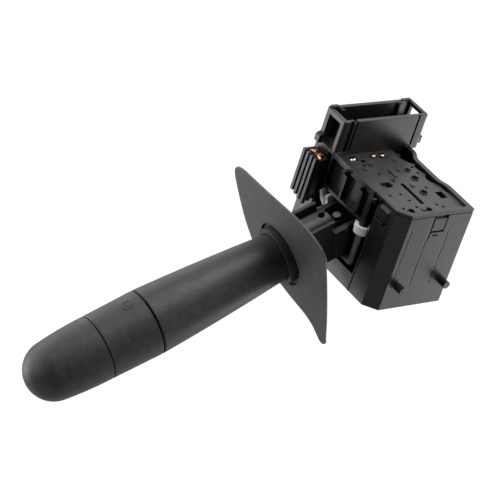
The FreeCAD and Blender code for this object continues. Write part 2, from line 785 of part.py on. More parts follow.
def leaf_spring():
    """A bowed copper leaf on two feet, with two fingers."""
    body = make_body("leaf_spring")
    inner = -S.box_left - 0.55
    seat = S.block_top - 1.6
    front, back = S.block_front + 1.2, S.block_front + S.block_width - 1.2
    thick, bow = 0.3, 8.0
    sketch = make_sketch(body, "YZ", inner - 3.7)
    crown = seat + 1.9
    middle = (front + back) / 2
    add_outline(sketch, [
        (front, seat), (front + thick, seat), (front + thick, crown - 0.6),
        (back - thick, crown - 0.6, bow, -1), (back - thick, seat), (back, seat),
        (back, crown - 0.5), (front, crown - 0.5, bow + thick, 1)])
    pad(body, sketch, as_size(1.1))
    # Two fingers bent toward the socket
    sketch = make_sketch(body, "YZ", inner - 2.6)
    for y in (middle - 2.4, middle + 0.6):
        add_rectangle(sketch, y, crown + 0.1, y + 1.5, crown + 0.4)
    pad(body, sketch, as_size(1.3))
    return body


# Pieces at the lever opening


def cancel_lever():
    """White sleeve that turns on the neck, with a hook at its side and an arm into the box."""
    body = make_body("cancel_lever")
    x, y, low = S.post_x, S.post_y, S.sleeve_top - S.sleeve_height
    outer = S.post_neck + S.sleeve_skin
    sketch = make_sketch(body, "XY", low)
    add_circle(sketch, x, y, outer)
    add_circle(sketch, x, y, S.post_neck + S.running_fit)
    pad(body, sketch, S.sleeve_height)
    # Hook that stands up beside the sleeve
    hook, top = y + outer + 0.15, low + S.sleeve_height
    sketch = make_sketch(body, "YZ", x - 1.0)
    add_outline(sketch, [
        (hook - 0.55, low), (hook + 0.45, low + 0.7), (hook + 0.45, top), (hook, top),
        (hook, low + 1.6), (hook - 0.55, low + 1.6)])
    pad(body, sketch, as_size(1.2))
    # Arm that reaches into the box
    sketch = make_sketch(body, "XY", low)
    add_rectangle(sketch, x + S.post_neck + 0.6, y - 1.1, x + 8.4, y + 1.1)
    pad(body, sketch, as_size(2.2))
    return body


def stop_rod():
    """Grey rod below the sleeve, with an L foot."""
    body = make_body("stop_rod")
    foot = as_size(-0.8)
    sketch = make_sketch(body, "XY", foot)
    add_rectangle(sketch, S.post_x - 1.2, S.post_y - 1.2, S.post_x + 0.9, S.post_y + 4.2)
    pad(body, sketch, as_size(1.0))
    sketch = make_sketch(body, "XY", foot + 0.9)
    add_circle(sketch, S.post_x, S.post_y, as_size(1.2))
    pad(body, sketch, S.sleeve_top - S.sleeve_height - 0.15 - foot - 0.9)
    return body


# Tilted pieces: bracket, pins, carrier


def pivot_bracket():
    """Two lugs that hold the pivot pin, joined by the wall that carries the detent cam."""
    body = make_body("pivot_bracket", tilted=True)
    half, reach = S.bracket_half, S.cam_reach + S.cam_thick
    low = S.lug_bottom - S.lug_thick
    sketch = make_sketch(body, "XY", low)
    add_outline(sketch, [
        (reach, -half), (reach, half), (ZERO, half), (-half, ZERO, half, 1), (ZERO, -half, half, 1)])
    pad(body, sketch, S.lug_thick)
    sketch = make_sketch(body, "XY", low)
    add_rectangle(sketch, S.cam_reach, -half, reach, half)
    pad(body, sketch, S.lug_top - low)
    # Upper lug, narrow where it runs between the carrier's walls
    sketch = make_sketch(body, "XY", S.lug_top - S.lug_thick)
    neck, waist = S.strip_end + 0.9, S.lug_nose + 0.5
    nose = S.lug_nose
    add_outline(sketch, [
        (reach, -half), (reach, half), (neck + 0.7, half), (neck, waist), (ZERO, nose),
        (-nose, ZERO, nose, 1), (ZERO, -nose, nose, 1), (neck, -waist), (neck + 0.7, -half)])
    pad(body, sketch, S.lug_thick)
    # Bores for the pin, and a slot for the drive peg
    sketch = make_sketch(body, "XY", S.lug_top + 1)
    add_circle(sketch, ZERO, ZERO, S.pivot_pin_radius)
    pocket(body, sketch, S.lug_top - low + 2)
    sketch = make_sketch(body, "XY", S.lug_top + 1)
    room = S.drive_radius + 0.5
    add_rounded(sketch, S.drive_at - room, 1.2 - half, S.drive_at + room, half - 1.2, room * 0.6)
    pocket(body, sketch, S.lug_thick + 2)
    # Detent cam: three shallow hollows for the plunger's nose
    sketch = make_sketch(body, "XY", S.lug_bottom)
    crest, hollow, pitch, curve = S.cam_reach - 1.05, 0.56, 2.15, 1.65
    add_outline(sketch, [
        (S.cam_reach + 0.1, -half), (S.cam_reach + 0.1, half), (crest, half), (crest, as_size(pitch + hollow)),
        (crest, as_size(pitch - hollow), curve, -1), (crest, as_size(hollow)),
        (crest, as_size(-hollow), curve, -1), (crest, as_size(hollow - pitch)),
        (crest, as_size(-hollow - pitch), curve, -1), (crest, -half)])
    pad(body, sketch, S.lug_top - S.lug_thick - S.lug_bottom)
    return body


def indicator_pin():
    return tilted_pin("indicator_pivot_pin", S.pivot_pin_radius, ZERO, ZERO,
                      S.lug_bottom - S.lug_thick, S.pin_top - S.lug_bottom + S.lug_thick)


def tilted_pin(name, radius, x, y, z, length):
    """A pin square to the lever and to the swing of the dip switch."""
    body = make_body(name, tilted=True)
    sketch = make_sketch(body, "XY", z)
    add_circle(sketch, x, y, radius)
    pad(body, sketch, length)
    return body


def indicator_carrier():
    """The trough that the lever lies in, its hub, side box and tail."""
    body = make_body("indicator_carrier", tilted=True)
    half, wall = S.trough_half, S.trough_wall
    base = S.trough_floor - S.trough_base
    # Trough: a U drawn across the lever
    sketch = make_sketch(body, "YZ", -S.trough_end)
    add_outline(sketch, [
        (-half, base), (half, base), (half, S.trough_top), (half - wall, S.trough_top),
        (half - wall, S.trough_floor), (wall - half, S.trough_floor), (wall - half, S.trough_top),
        (-half, S.trough_top)])
    pad(body, sketch, S.trough_end - S.step_at)
    # Lower, thicker walls beside the hub, on a raised floor
    sketch = make_sketch(body, "YZ", -S.step_at - 0.1)
    inner, floor = half - wall - 0.7, S.hub_bottom
    add_outline(sketch, [
        (-half, floor), (half, floor), (half, S.far_step_top), (inner, S.far_step_top),
        (inner, floor + S.trough_base), (-inner, floor + S.trough_base), (-inner, S.step_top),
        (-half, S.step_top)])
    pad(body, sketch, S.step_at + 0.1 + S.strip_end)
    # Hub, and a block on it that faces the dip plunger
    sketch = make_sketch(body, "XY", S.hub_bottom)
    add_circle(sketch, ZERO, ZERO, S.hub_radius)
    pad(body, sketch, S.hub_top - S.hub_bottom)
    sketch = make_sketch(body, "XY", S.dip_plunger_z - 3.0)
    add_rectangle(sketch, S.dip_face, as_size(-1.8), -S.lug_nose - S.fit_gap, as_size(1.8))
    pad(body, sketch, as_size(4.2))
    # Side box on the near side: face wall and side wall
    sketch = make_sketch(body, "XY", S.wide_bottom)
    side = -S.wide_half
    add_outline(sketch, [
        (-S.wide_front, -half + 0.2), (-S.wide_front, side), (-S.wide_rear, side),
        (-S.wide_rear, side + S.wide_wall), (-S.wide_front + S.wide_wall, side + S.wide_wall),
        (-S.wide_front + S.wide_wall, -half + 0.2)])
    pad(body, sketch, S.wide_top - S.wide_bottom)
    # Tail with the drive peg
    sketch = make_sketch(body, "XY", as_size(-4.2))
    add_rectangle(sketch, S.hub_radius - 0.8, -S.tail_half, S.tail_length, S.tail_half)
    pad(body, sketch, S.tail_top + 4.2)
    sketch = make_sketch(body, "XY", S.tail_top - 0.1)
    add_circle(sketch, S.drive_at, ZERO, S.drive_radius)
    pad(body, sketch, S.drive_top - S.tail_top + 0.1)
    # Lug for the rocker's pin on the far side
    sketch = make_sketch(body, "YZ", S.rocker_at + S.rocker_thick + S.fit_gap)
    add_outline(sketch, [
        (half - 0.2, S.rocker_z - 4.0), (S.rocker_y + 1.5, S.rocker_z - 1.3),
        (S.rocker_y + 1.5, S.rocker_z + 1.4), (half - 0.2, S.rocker_z + 1.8)])
    pad(body, sketch, as_size(1.4))
    bore_carrier(body)
    return body


def bore_carrier(body):
    """Bores for the pivot pin, dip pin, rocker pin and plunger, and the side pin's slot."""
    sketch = make_sketch(body, "XY", S.hub_top + 1)
    add_circle(sketch, ZERO, ZERO, S.pivot_pin_radius + S.running_fit)
    pocket(body, sketch, S.hub_top - S.hub_bottom + 2)
    sketch = make_sketch(body, "XZ", -S.trough_half - 1)
    add_circle(sketch, -S.dip_pivot, ZERO, S.dip_pin_radius)
    pocket(body, sketch, S.trough_half * 2 + 2)
    sketch = make_sketch(body, "YZ", S.rocker_at + S.rocker_thick)
    add_circle(sketch, S.rocker_y, S.rocker_z, S.rocker_pin_radius)
    pocket(body, sketch, as_size(3.0), back=True)
    sketch = make_sketch(body, "YZ", S.tail_length + 1)
    add_circle(sketch, ZERO, S.indicator_plunger_z, S.plunger_radius + S.running_fit)
    pocket(body, sketch, S.plunger_length + S.spring_room + 1)
    # Slot in the far wall where the stalk's side pin comes through
    sketch = make_sketch(body, "XZ", S.trough_half + 1)
    reach = S.side_pin_radius + 0.5
    add_rectangle(sketch, -S.side_pin_at - reach, S.rocker_z - reach - 0.6,
                  -S.side_pin_at + reach, S.rocker_z + reach + 0.6)
    pocket(body, sketch, S.trough_wall + 2, back=True)


S.spring_room = as_size(1.6)
S.spring_slack = as_size(0.55)
S.nose_wall = S.plunger_radius + 1.0
S.indicator_nose = S.cam_reach - S.nose_room
S.indicator_plunger_z = as_size(-1.1)
S.dip_nose = S.dip_face - 0.35


def indicator_plunger():
    """Plunger in the carrier's tail; its nose runs over the detent cam."""
    return plunger("indicator_plunger", S.indicator_nose, S.tail_length, S.indicator_plunger_z)


def plunger(name, nose, mouth, z):
    """A round-nosed plunger that stands out of its bore's mouth, hollow for its spring."""
    body = make_body(name, tilted=True)
    sketch = make_sketch(body, "XZ")
    radius = S.plunger_radius
    tail = mouth - S.plunger_length
    bore = S.spring_radius + S.spring_wire + 0.12
    add_outline(sketch, [
        (tail, z + bore), (nose - S.nose_wall, z + bore), (nose - S.nose_wall, z), (nose, z),
        (nose - radius, z + radius, radius, 1), (tail, z + radius)])
    axis_line = sketch.addGeometry(Part.LineSegment(
        Vector(tail.value, z.value, 0), Vector(nose.value, z.value, 0)), True)
    fix_point(sketch, axis_line, 1, tail, z)
    fix_point(sketch, axis_line, 2, nose, z)
    feature = body.newObject("PartDesign::Revolution", f"{name}_revolution")
    feature.Profile = sketch
    feature.ReferenceAxis = (sketch, ["Axis0"])
    feature.Angle = 360
    doc.recompute()
    return body


def plunger_spring(name, nose, mouth, z):
    """Coil between the bottom of the bore and the hollow of the plunger."""
    start = mouth - S.plunger_length - S.spring_room
    return coil_spring(name, start, nose - S.nose_wall - start, z, 7)


def dip_plunger():
    """Plunger in the shaft's inner end; its nose faces the block on the hub."""
    return plunger("dip_plunger", S.dip_nose, -S.shaft_inner, S.dip_plunger_z)


def coil_spring(name, start, room, z, turns, radius=None, wire=None):
    """A coil spring along the lever, swept along a helix, a little shorter than its room."""
    radius = radius or S.spring_radius
    wire = wire or S.spring_wire
    length = room - S.spring_slack - wire * 2
    helix = doc.addObject("Part::Helix", f"{name}_helix")
    bind(helix, "Pitch", length / turns)
    bind(helix, "Height", length)
    bind(helix, "Radius", radius)
    section = doc.addObject("Part::Circle", f"{name}_section")
    bind(section, "Radius", wire)
    section.Placement = FreeCAD.Placement(Vector(0, 0, 0), FreeCAD.Rotation(Vector(1, 0, 0), 90))
    bind(section, "Placement.Base.x", radius)
    doc.recompute()
    sweep = doc.addObject("Part::Sweep", f"{name}_coil")
    sweep.Sections = [section]
    sweep.Spine = (helix, [])
    sweep.Solid = True
    sweep.Frenet = True
    place(sweep, start + wire, ZERO, z, (1, 0, 0))
    return make_group(name, [sweep], tilted=True)


def horn_spring():
    """Short wide coil between the end of the core and the bottom of the head's cup."""
    room = as_size(2.2)
    return coil_spring("horn_spring", -S.head_end - room + S.spring_slack, room, ZERO, 2,
                       as_size(3.6), as_size(0.28))


# Stalk pieces


def stalk_core():
    """The lever's own frame: round-topped shaft, collar seat, tube and journal."""
    body = turned("stalk_core", [
        (S.core_start, S.core_bore), (S.head_end, S.core_bore), (S.head_end, S.journal_radius),
        (S.sleeve_end - 1.2, S.journal_radius), (S.sleeve_end - 1.2, S.sleeve_inner(S.sleeve_end - 1.2)),
        (S.sleeve_end - 3.4, S.sleeve_inner(S.sleeve_end - 3.4)), (S.sleeve_end - 3.4, S.core_radius),
        (S.sleeve_start + 4.2, S.core_radius), (S.sleeve_start + 4.2, S.sleeve_root - S.sleeve_wall),
        (S.sleeve_start - 1.2, S.sleeve_root - S.sleeve_wall), (S.sleeve_start - 1.2, S.core_radius),
        (S.core_start, S.core_radius)])
    half = S.shaft_half
    # Shaft section: flat sides, round crown
    sketch = make_sketch(body, "YZ", -S.core_start - 0.4)
    add_outline(sketch, [
        (half - 1.0, S.shaft_bottom), (half, S.shaft_bottom + 1.0, 1.0, 1), (half, S.shaft_crown),
        (ZERO, S.shaft_crown + half, half, 1), (-half, S.shaft_crown, half, 1),
        (-half, S.shaft_bottom + 1.0), (1.0 - half, S.shaft_bottom, 1.0, 1)])
    pad(body, sketch, S.core_start + 0.4 - S.shaft_inner)
    # The crown reaches further in, over the plunger
    sketch = make_sketch(body, "YZ", -S.shaft_inner - 0.1)
    rise = S.crown_low - S.shaft_crown
    width = Size(math.sqrt(half.value ** 2 - rise.value ** 2), f"sqrt({half.text}^2 - {rise.text}^2)")
    add_outline(sketch, [
        (width, S.crown_low), (ZERO, S.shaft_crown + half, half, 1), (-width, S.crown_low, half, 1)])
    pad(body, sketch, S.shaft_inner + 0.1 - S.crown_end)
    # Keyhole notch down into the crown
    sketch = make_sketch(body, "XY", S.shaft_crown + half + 1)
    add_circle(sketch, -S.notch_at, as_size(-0.4), S.notch_radius)
    pocket(body, sketch, S.notch_depth + 1)
    sketch = make_sketch(body, "XY", S.shaft_crown + half + 1)
    add_rectangle(sketch, -S.notch_at, as_size(-0.1), 0.1 - S.crown_end, as_size(0.6))
    pocket(body, sketch, S.notch_depth + 1)
    # Bore for the dip pin, plunger bore in the inner end, and the side pin
    sketch = make_sketch(body, "XZ", -half - 1)
    add_circle(sketch, -S.dip_pivot, ZERO, S.dip_pin_radius + S.running_fit)
    pocket(body, sketch, half * 2 + 2)
    sketch = make_sketch(body, "YZ", -S.shaft_inner + 1)
    add_circle(sketch, ZERO, S.dip_plunger_z, S.plunger_radius + S.running_fit)
    pocket(body, sketch, S.plunger_length + S.spring_room + 1)
    sketch = make_sketch(body, "XZ", half - 0.5)
    add_circle(sketch, -S.side_pin_at, S.rocker_z, S.side_pin_radius)
    pad(body, sketch, S.rocker_y - half - 0.9, back=True)
    return body


def sleeve_inner(u):
    """Inside radius of the sleeve at a distance out along the lever, less a small fit."""
    share = (u - S.sleeve_start) / (S.sleeve_end - S.sleeve_start)
    return S.sleeve_root + (S.ring_radius - S.sleeve_root) * share - S.sleeve_wall - 0.15


S.sleeve_inner = sleeve_inner
S.head_end = S.cap_junction + 5.0


def stalk_sleeve():
    """The tapered grip, slightly bowed, open at both ends."""
    bottom, top = S.sleeve_root - S.sleeve_wall, S.ring_radius - S.sleeve_wall
    return turned("stalk_sleeve", [
        (S.sleeve_start, bottom), (S.sleeve_start, S.sleeve_root - 0.3),
        (S.sleeve_start + 0.3, S.sleeve_root), (S.sleeve_end - 0.3, S.ring_radius, S.sleeve_bow, 1),
        (S.sleeve_end, S.ring_radius - 0.3), (S.sleeve_end, top)])


def shield_plate():
    """Thin sheet, bent back toward the box at its sides, cut to its outline."""
    body = make_body("shield_plate", tilted=True)
    bend, thick = S.shield_bend, S.shield_thick
    reach, drop = 40.0, 40.0
    far = -S.shield_at - thick
    sag = Size(bend.value - math.sqrt(bend.value ** 2 - reach ** 2),
               f"({bend.text} - sqrt({bend.text}^2 - {reach}^2))")
    sketch = make_sketch(body, "XY", -drop)
    add_outline(sketch, [
        (far + sag + thick, as_size(-reach)), (far + thick, ZERO, bend, -1),
        (far + sag + thick, as_size(reach), bend, -1), (far + sag, as_size(reach)),
        (far, ZERO, bend, 1), (far + sag, as_size(-reach), bend, 1)])
    pad(body, sketch, as_size(2 * drop))
    sketch = make_sketch(body, "YZ", -S.shield_at - 6)
    add_rectangle(sketch, as_size(-reach - 2), as_size(-drop - 2), as_size(reach + 2), as_size(drop + 2))
    add_outline(sketch, SHIELD_OUTLINE)
    pocket(body, sketch, as_size(16), back=True)
    sketch = make_sketch(body, "YZ", -S.shield_at - 6)
    add_circle(sketch, ZERO, ZERO, S.shield_hole)
    pocket(body, sketch, as_size(16), back=True)
    return body


# Outline of the shield, across and up from the lever's axis, with its curved stretches
SHIELD_OUTLINE = [
    (-21.6, -26.9, 1.95, 1), (-18.4, -22.3), (-10.0, -18.5, 15.0, -1), (14.7, -13.4),
    (21.0, -9.3, 10.4, 1), (25.9, -1.5, 35.0, 1), (29.8, 10.9, 106.0, 1), (30.4, 16.7, 17.7, 1),
    (26.6, 21.9, 7.0, 1), (20.6, 24.2, 20.5, 1), (-9.3, 28.2, 192.0, 1), (-21.05, 26.7, 27.0, 1),
    (-27.0, 23.0, 20.0, 1), (-28.4, 16.5, 7.9, 1), (-26.3, -14.0, 438.0, 1), (-24.9, -25.0)]


def shield_collar():
    """Ring that holds the shield on the core, with a flange behind the sheet."""
    back = S.shield_at - 0.5
    return turned("shield_collar", [
        (back - 1.4, S.core_radius + 0.15), (S.sleeve_start - 1.4, S.core_radius + 0.15),
        (S.sleeve_start - 1.4, S.collar_bore), (S.sleeve_start + 0.9, S.collar_bore),
        (S.sleeve_start + 0.9, S.collar_radius), (back, S.collar_radius),
        (back, S.flange_radius), (back - 1.4, S.flange_radius)])


def switch_head():
    """Cup that slides on the core's journal and carries the ring and the cap."""
    bore = S.journal_radius + S.running_fit
    outer = bore + S.head_wall
    end = S.head_end + 2.2
    return turned("switch_head", [
        (S.ring_start + 0.6, bore), (end, bore), (end, ZERO), (end + 0.8, ZERO), (end + 0.8, outer),
        (S.ring_start + 1.8, outer), (S.ring_start + 1.8, outer + 1.8), (S.ring_start + 0.6, outer + 1.8)])


def fog_ring():
    """Ring with a hub that turns on the head, a web and an outer wall."""
    bore = S.journal_radius + S.running_fit * 2 + S.head_wall
    hub = bore + 1.6
    start, end = S.ring_start, S.ring_end
    return turned("fog_ring", [
        (start + 2.2, bore), (end - 4.0, bore), (end - 4.0, hub), (start + 4.6, hub),
        (start + 4.6, S.ring_radius - S.ring_wall), (end, S.cap_radius - S.ring_wall),
        (end, S.cap_radius - 0.25), (end - 0.25, S.cap_radius), (start + 0.25, S.ring_radius),
        (start, S.ring_radius - 0.25), (start, S.ring_radius - S.ring_wall), (start + 2.2, S.ring_radius - S.ring_wall)])


def light_cap():
    """Domed cap: hub on the head, web, and an outer wall whose side arc runs into the nose."""
    start, nose, radius = S.cap_start, S.nose_radius, S.cap_radius
    reach = S.cap_length - nose
    side = (reach * reach + radius * radius - nose * nose) / (2 * (radius - nose))
    share = nose / (side - nose)
    inner_nose = nose - S.cap_wall
    inner_side = side - S.cap_wall
    inner_share = inner_nose / (inner_side - inner_nose)
    bore = S.journal_radius + S.running_fit * 2 + S.head_wall
    hub = bore + 1.6
    deep = S.head_end + 6.5
    return turned("light_cap", [
        (start + 1.2, bore), (S.head_end + 1.4, bore), (S.head_end + 1.4, hub),
        (start + 3.4, hub), (start + 3.4, radius - S.cap_wall - 0.1),
        (start + reach + reach * inner_share, (side - radius) * inner_share, inner_side, 1),
        (start + reach + inner_nose, ZERO, inner_nose, 1), (start + S.cap_length, ZERO),
        (start + reach + reach * share, (side - radius) * share, nose, -1),
        (start + 0.25, radius, side, -1), (start, radius - 0.25), (start, radius - S.cap_wall),
        (start + 1.2, radius - S.cap_wall)])


def contact_disc():
    """Disc with the rotary contacts, fixed on the head inside the ring."""
    outer = S.journal_radius + S.running_fit + S.head_wall
    return turned("rotary_contact_disc", [
        (S.ring_end - 2.6, outer), (S.ring_end - 1.6, outer), (S.ring_end - 1.6, S.cap_radius - S.ring_wall - 0.5),
        (S.ring_end - 2.6, S.cap_radius - S.ring_wall - 0.6)])


def cap_clip():
    """Split ring that keeps the cap on the head."""
    outer = S.journal_radius + S.running_fit + S.head_wall
    return turned("cap_clip", [
        (S.head_end + 1.8, outer), (S.head_end + 2.8, outer), (S.head_end + 2.8, outer + 2.0),
        (S.head_end + 1.8, outer + 2.0)])


def horn_contact():
    """Fixed contact button in the end of the core."""
    return turned("horn_contact", [
        (S.head_end - 3.0, ZERO), (S.head_end + 1.6, ZERO), (S.head_end + 1.6, 1.4),
        (S.head_end, 1.4), (S.head_end, S.core_bore), (S.head_end - 3.0, S.core_bore)])


# Dip rocker and contact sliders


def dip_rocker():
    """White rocker: a fork above its pin, and a slotted arm round the stalk's side pin."""
    body = make_body("dip_rocker", tilted=True)
    y, z = S.rocker_y, S.rocker_z
    inner, outer = S.fork_half, S.fork_half + S.fork_prong
    top = z + S.fork_rise
    low = z + 1.2
    sketch = make_sketch(body, "YZ", S.rocker_at)
    add_outline(sketch, [
        (y - 1.6, z - 1.6), (y + 1.4, z - 1.6), (y + outer, z + 0.4), (y + outer, top - 0.4),
        (y + outer - 0.4, top, 0.4, 1), (y + inner, top), (y + inner, low + 0.8),
        (y + inner - 0.8, low, 0.8, -1), (y - inner + 0.8, low), (y - inner, low + 0.8, 0.8, -1),
        (y - inner, top), (y - outer + 0.4, top), (y - outer, top - 0.4, 0.4, 1), (y - outer, z - 0.7)])
    pad(body, sketch, S.rocker_thick)
    # Arm along the trough's far wall, with an open slot at its end
    sketch = make_sketch(body, "XZ", S.trough_half + S.arm_out)
    end = -S.side_pin_at - S.side_pin_radius - 0.9
    slot = S.side_pin_radius + 0.35
    half, end_half, thick_end = S.arm_half, S.arm_end_half, S.rocker_at + S.rocker_thick
    add_outline(sketch, [
        (thick_end, z - half), (thick_end, z + half), (-S.side_pin_at + 4.0, z + half),
        (-S.side_pin_at + 3.0, z + end_half), (end, z + end_half), (end, z + slot),
        (-S.side_pin_at + slot, z + slot), (-S.side_pin_at + slot, z - slot), (end, z - slot),
        (end, z - end_half), (-S.side_pin_at + 3.0, z - end_half), (-S.side_pin_at + 4.0, z - half)])
    pad(body, sketch, S.arm_thick, back=True)
    sketch = make_sketch(body, "YZ", S.rocker_at - 1)
    add_circle(sketch, y, z, S.rocker_pin_radius + S.running_fit)
    pocket(body, sketch, S.rocker_thick + 2, back=True)
    return body


def rocker_pin():
    body = make_body("rocker_pin", tilted=True)
    sketch = make_sketch(body, "YZ", S.rocker_at)
    add_circle(sketch, S.rocker_y, S.rocker_z, S.rocker_pin_radius)
    pad(body, sketch, S.rocker_thick + S.fit_gap + 1.4)
    return body


def dip_pin():
    body = make_body("dip_pivot_pin", tilted=True)
    sketch = make_sketch(body, "XZ", S.trough_half)
    add_circle(sketch, -S.dip_pivot, ZERO, S.dip_pin_radius)
    pad(body, sketch, S.trough_half * 2)
    return body


def slider_guide():
    """Plate under the two contact sliders, on legs, with openings for what drives them."""
    body = make_body("slider_guide")
    left = S.guide_left
    right = S.box_right - S.side_step - S.box_wall - S.fit_gap
    front, back = S.guide_front, S.socket_front - 0.6
    sketch = make_sketch(body, "XY", S.guide_top - S.guide_thick)
    add_rectangle(sketch, left, front, right, back)
    pad(body, sketch, S.guide_thick)
    sketch = make_sketch(body, "XY", S.guide_top + 1)
    add_rectangle(sketch, S.drive_x - 2.4, S.pivot_y - 5.8, S.drive_x + 3.0, S.pivot_y + 5.8)
    add_rectangle(sketch, left - 1, S.rail_y - 2.2, left + 2.6, back + 1)
    pocket(body, sketch, as_size(3.0))
    sketch = make_sketch(body, "XY", S.guide_top)
    for x0, x1 in ((left, left + 0.7), (right - 1.2, right)):
        add_rectangle(sketch, x0, front, x1, front + 1.6)
    add_rectangle(sketch, right - 1.2, back - 1.6, right, back)
    pad(body, sketch, S.plate_bottom - S.guide_top)
    return body


S.slider_top = S.plate_bottom - S.lead_thick - 0.45
S.slider_thick = as_size(1.65)
S.drive_x = lever_point(S.drive_at, S.drive_top).x
S.rail_y = S.pivot_y + S.rocker_y


def indicator_slider():
    """Carriage under the contact plate, with two prongs astride the drive peg."""
    body = make_body("indicator_slider")
    x, y = S.drive_x, S.pivot_y
    bottom = S.slider_top - S.slider_thick
    sketch = make_sketch(body, "XY", bottom)
    add_rectangle(sketch, x - 1.9, y - 7.4, x + 5.0, y + 7.4)
    pad(body, sketch, S.slider_thick)
    tip = lever_point(S.drive_at, S.drive_top - 2.2).z
    sketch = make_sketch(body, "XY", bottom + 0.1)
    near, far = S.drive_radius + 0.35, S.drive_radius + 1.75
    add_rectangle(sketch, x - 1.6, y + near, x + 2.4, y + far)
    add_rectangle(sketch, x - 1.6, y - far, x + 2.4, y - near)
    pad(body, sketch, bottom + 0.1 - tip, back=True)
    return body


def dip_slider():
    """Narrow carriage with a fin that hangs down into the rocker's fork."""
    body = make_body("dip_slider")
    left, y = S.guide_left + 0.3, S.rail_y
    bottom = S.slider_top - S.slider_thick
    sketch = make_sketch(body, "XY", bottom)
    add_rectangle(sketch, left, y - 9.0, left + 1.8, y + 0.45)
    pad(body, sketch, S.slider_thick)
    sketch = make_sketch(body, "XZ", y - 0.45)
    add_outline(sketch, [
        (left - 3.4, as_size(12.7)), (left - 1.4, as_size(12.7)), (left - 1.4, as_size(14.0)),
        (left + 1.8, as_size(14.0)), (left + 1.8, bottom + 0.1), (left, bottom + 0.1),
        (left, as_size(15.4)), (left - 3.4, as_size(15.4))])
    pad(body, sketch, as_size(0.9), back=True)
    return body


def slider_wiper(name, x, y, pitch, width):
    """Copper strips on a carriage, just under the lead frame."""
    body = make_body(name)
    body.AllowCompound = True
    sketch = make_sketch(body, "XY", S.slider_top)
    for middle in (y - pitch, y + pitch):
        add_rectangle(sketch, x, middle - S.wiper_half, x + width, middle + S.wiper_half)
    pad(body, sketch, as_size(0.15))
    return body


def check_objects():
    """Stops if any object failed, or if a piece has no valid shape."""
    doc.recompute()
    for item in doc.Objects:
        if "Invalid" in item.State or "Error" in item.State:
            raise RuntimeError(f"{item.Name} failed: {item.State}")


def main():
    pieces = [
        housing_shell(), terminal_carrier(), contact_plate(), lead_frame(), connector_terminals(),
        contact_block(), leaf_spring(), cancel_lever(), stop_rod(), pivot_bracket(), indicator_pin(),
        indicator_carrier(), indicator_plunger(),
        plunger_spring("indicator_spring", S.indicator_nose, S.tail_length, S.indicator_plunger_z),
        stalk_core(), stalk_sleeve(), shield_plate(), shield_collar(), dip_pin(), dip_plunger(),
        plunger_spring("dip_spring", S.dip_nose, -S.shaft_inner, S.dip_plunger_z),
        switch_head(), horn_spring(), fog_ring(), light_cap(), contact_disc(), cap_clip(),
        horn_contact(), dip_rocker(), rocker_pin(), slider_guide(), indicator_slider(), dip_slider(),
        slider_wiper("indicator_wiper", S.drive_x - 1.4, S.pivot_y, S.signal_wiper_pitch,
                     S.signal_wiper_width),
        slider_wiper("dip_wiper", S.guide_left + 0.5, S.rail_y - 4.2, S.dip_wiper_pitch, S.dip_wiper_width),
    ]
    check_objects()
    os.makedirs("parts", exist_ok=True)
    for piece in pieces:
        shape = piece.Shape
        if shape.isNull() or not shape.isValid():
            raise RuntimeError(f"{piece.Name} has no valid shape")
        print(f"{piece.Name}: {len(shape.Solids)} solid(s), {shape.Volume:.1f} mm3")
        piece.Label = piece.Name
        shape.exportStep(f"parts/{piece.Name}.step")


main()
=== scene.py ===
import math

import bpy
from mathutils import Matrix, Vector


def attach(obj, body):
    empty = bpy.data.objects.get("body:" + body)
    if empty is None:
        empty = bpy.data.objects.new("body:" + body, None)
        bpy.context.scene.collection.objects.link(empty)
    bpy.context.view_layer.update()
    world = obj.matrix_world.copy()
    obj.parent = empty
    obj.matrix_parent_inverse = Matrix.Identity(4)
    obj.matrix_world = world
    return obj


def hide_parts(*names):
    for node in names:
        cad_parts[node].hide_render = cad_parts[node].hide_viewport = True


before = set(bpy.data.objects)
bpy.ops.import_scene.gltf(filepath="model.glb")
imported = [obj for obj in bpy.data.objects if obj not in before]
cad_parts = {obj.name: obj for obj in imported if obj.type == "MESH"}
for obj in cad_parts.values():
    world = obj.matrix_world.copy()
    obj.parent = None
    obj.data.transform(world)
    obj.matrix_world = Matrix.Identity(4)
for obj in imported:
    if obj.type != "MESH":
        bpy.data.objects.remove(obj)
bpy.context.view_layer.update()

# The scene is in metres, in the frame of the switch: the origin lies between the two locating
# pins, +Z is up and the lever leaves toward -X. Sizes and places of the pieces are written in
# millimetres and become metres through MM.
MM = 0.001
TILT = math.radians(23.8)
PIVOT = Vector((-18.75, 30.0, 7.2)) * MM
OUTWARD = Vector((-math.cos(TILT), 0.0, -math.sin(TILT)))
ABOVE = Vector((-math.sin(TILT), 0.0, math.cos(TILT)))
ACROSS = Vector((0.0, 1.0, 0.0))
WHITE = (1, 1, 1, 1)


def on_lever(along, across, above):
    """A point of the lever: millimetres along its axis, across it and above it."""
    return PIVOT + (OUTWARD * along + ACROSS * across + ABOVE * above) * MM


# Colour and node helpers

# Values of a noise at which a colour or a gloss reaches its two ends
TONE_ENDS = (0.35, 0.65)
GLOSS_ENDS = (0.3, 0.7)


def linear(text):
    """A colour written as sRGB hex, as the linear RGBA that a shader takes."""
    parts = [int(text[i:i + 2], 16) / 255 for i in (1, 3, 5)]
    return [p / 12.92 if p <= 0.04045 else ((p + 0.055) / 1.055) ** 2.4 for p in parts] + [1.0]


def add_node(owner, kind, settings=None, **links):
    """Adds one node to a material, world or node group, with its settings.

    A link is socket_name=(node, output); a plain value is set on the socket; _0 names a socket
    by its number.
    """
    tree = getattr(owner, "node_tree", owner)
    node = tree.nodes.new(kind)
    for name, value in (settings or {}).items():
        setattr(node, name, value)
    for name, value in links.items():
        socket = node.inputs[int(name[1:]) if name[0] == "_" else name.replace("_", " ")]
        if isinstance(value, tuple) and hasattr(value[0], "outputs"):
            tree.links.new(value[0].outputs[value[1]], socket)
        else:
            socket.default_value = value
    return node


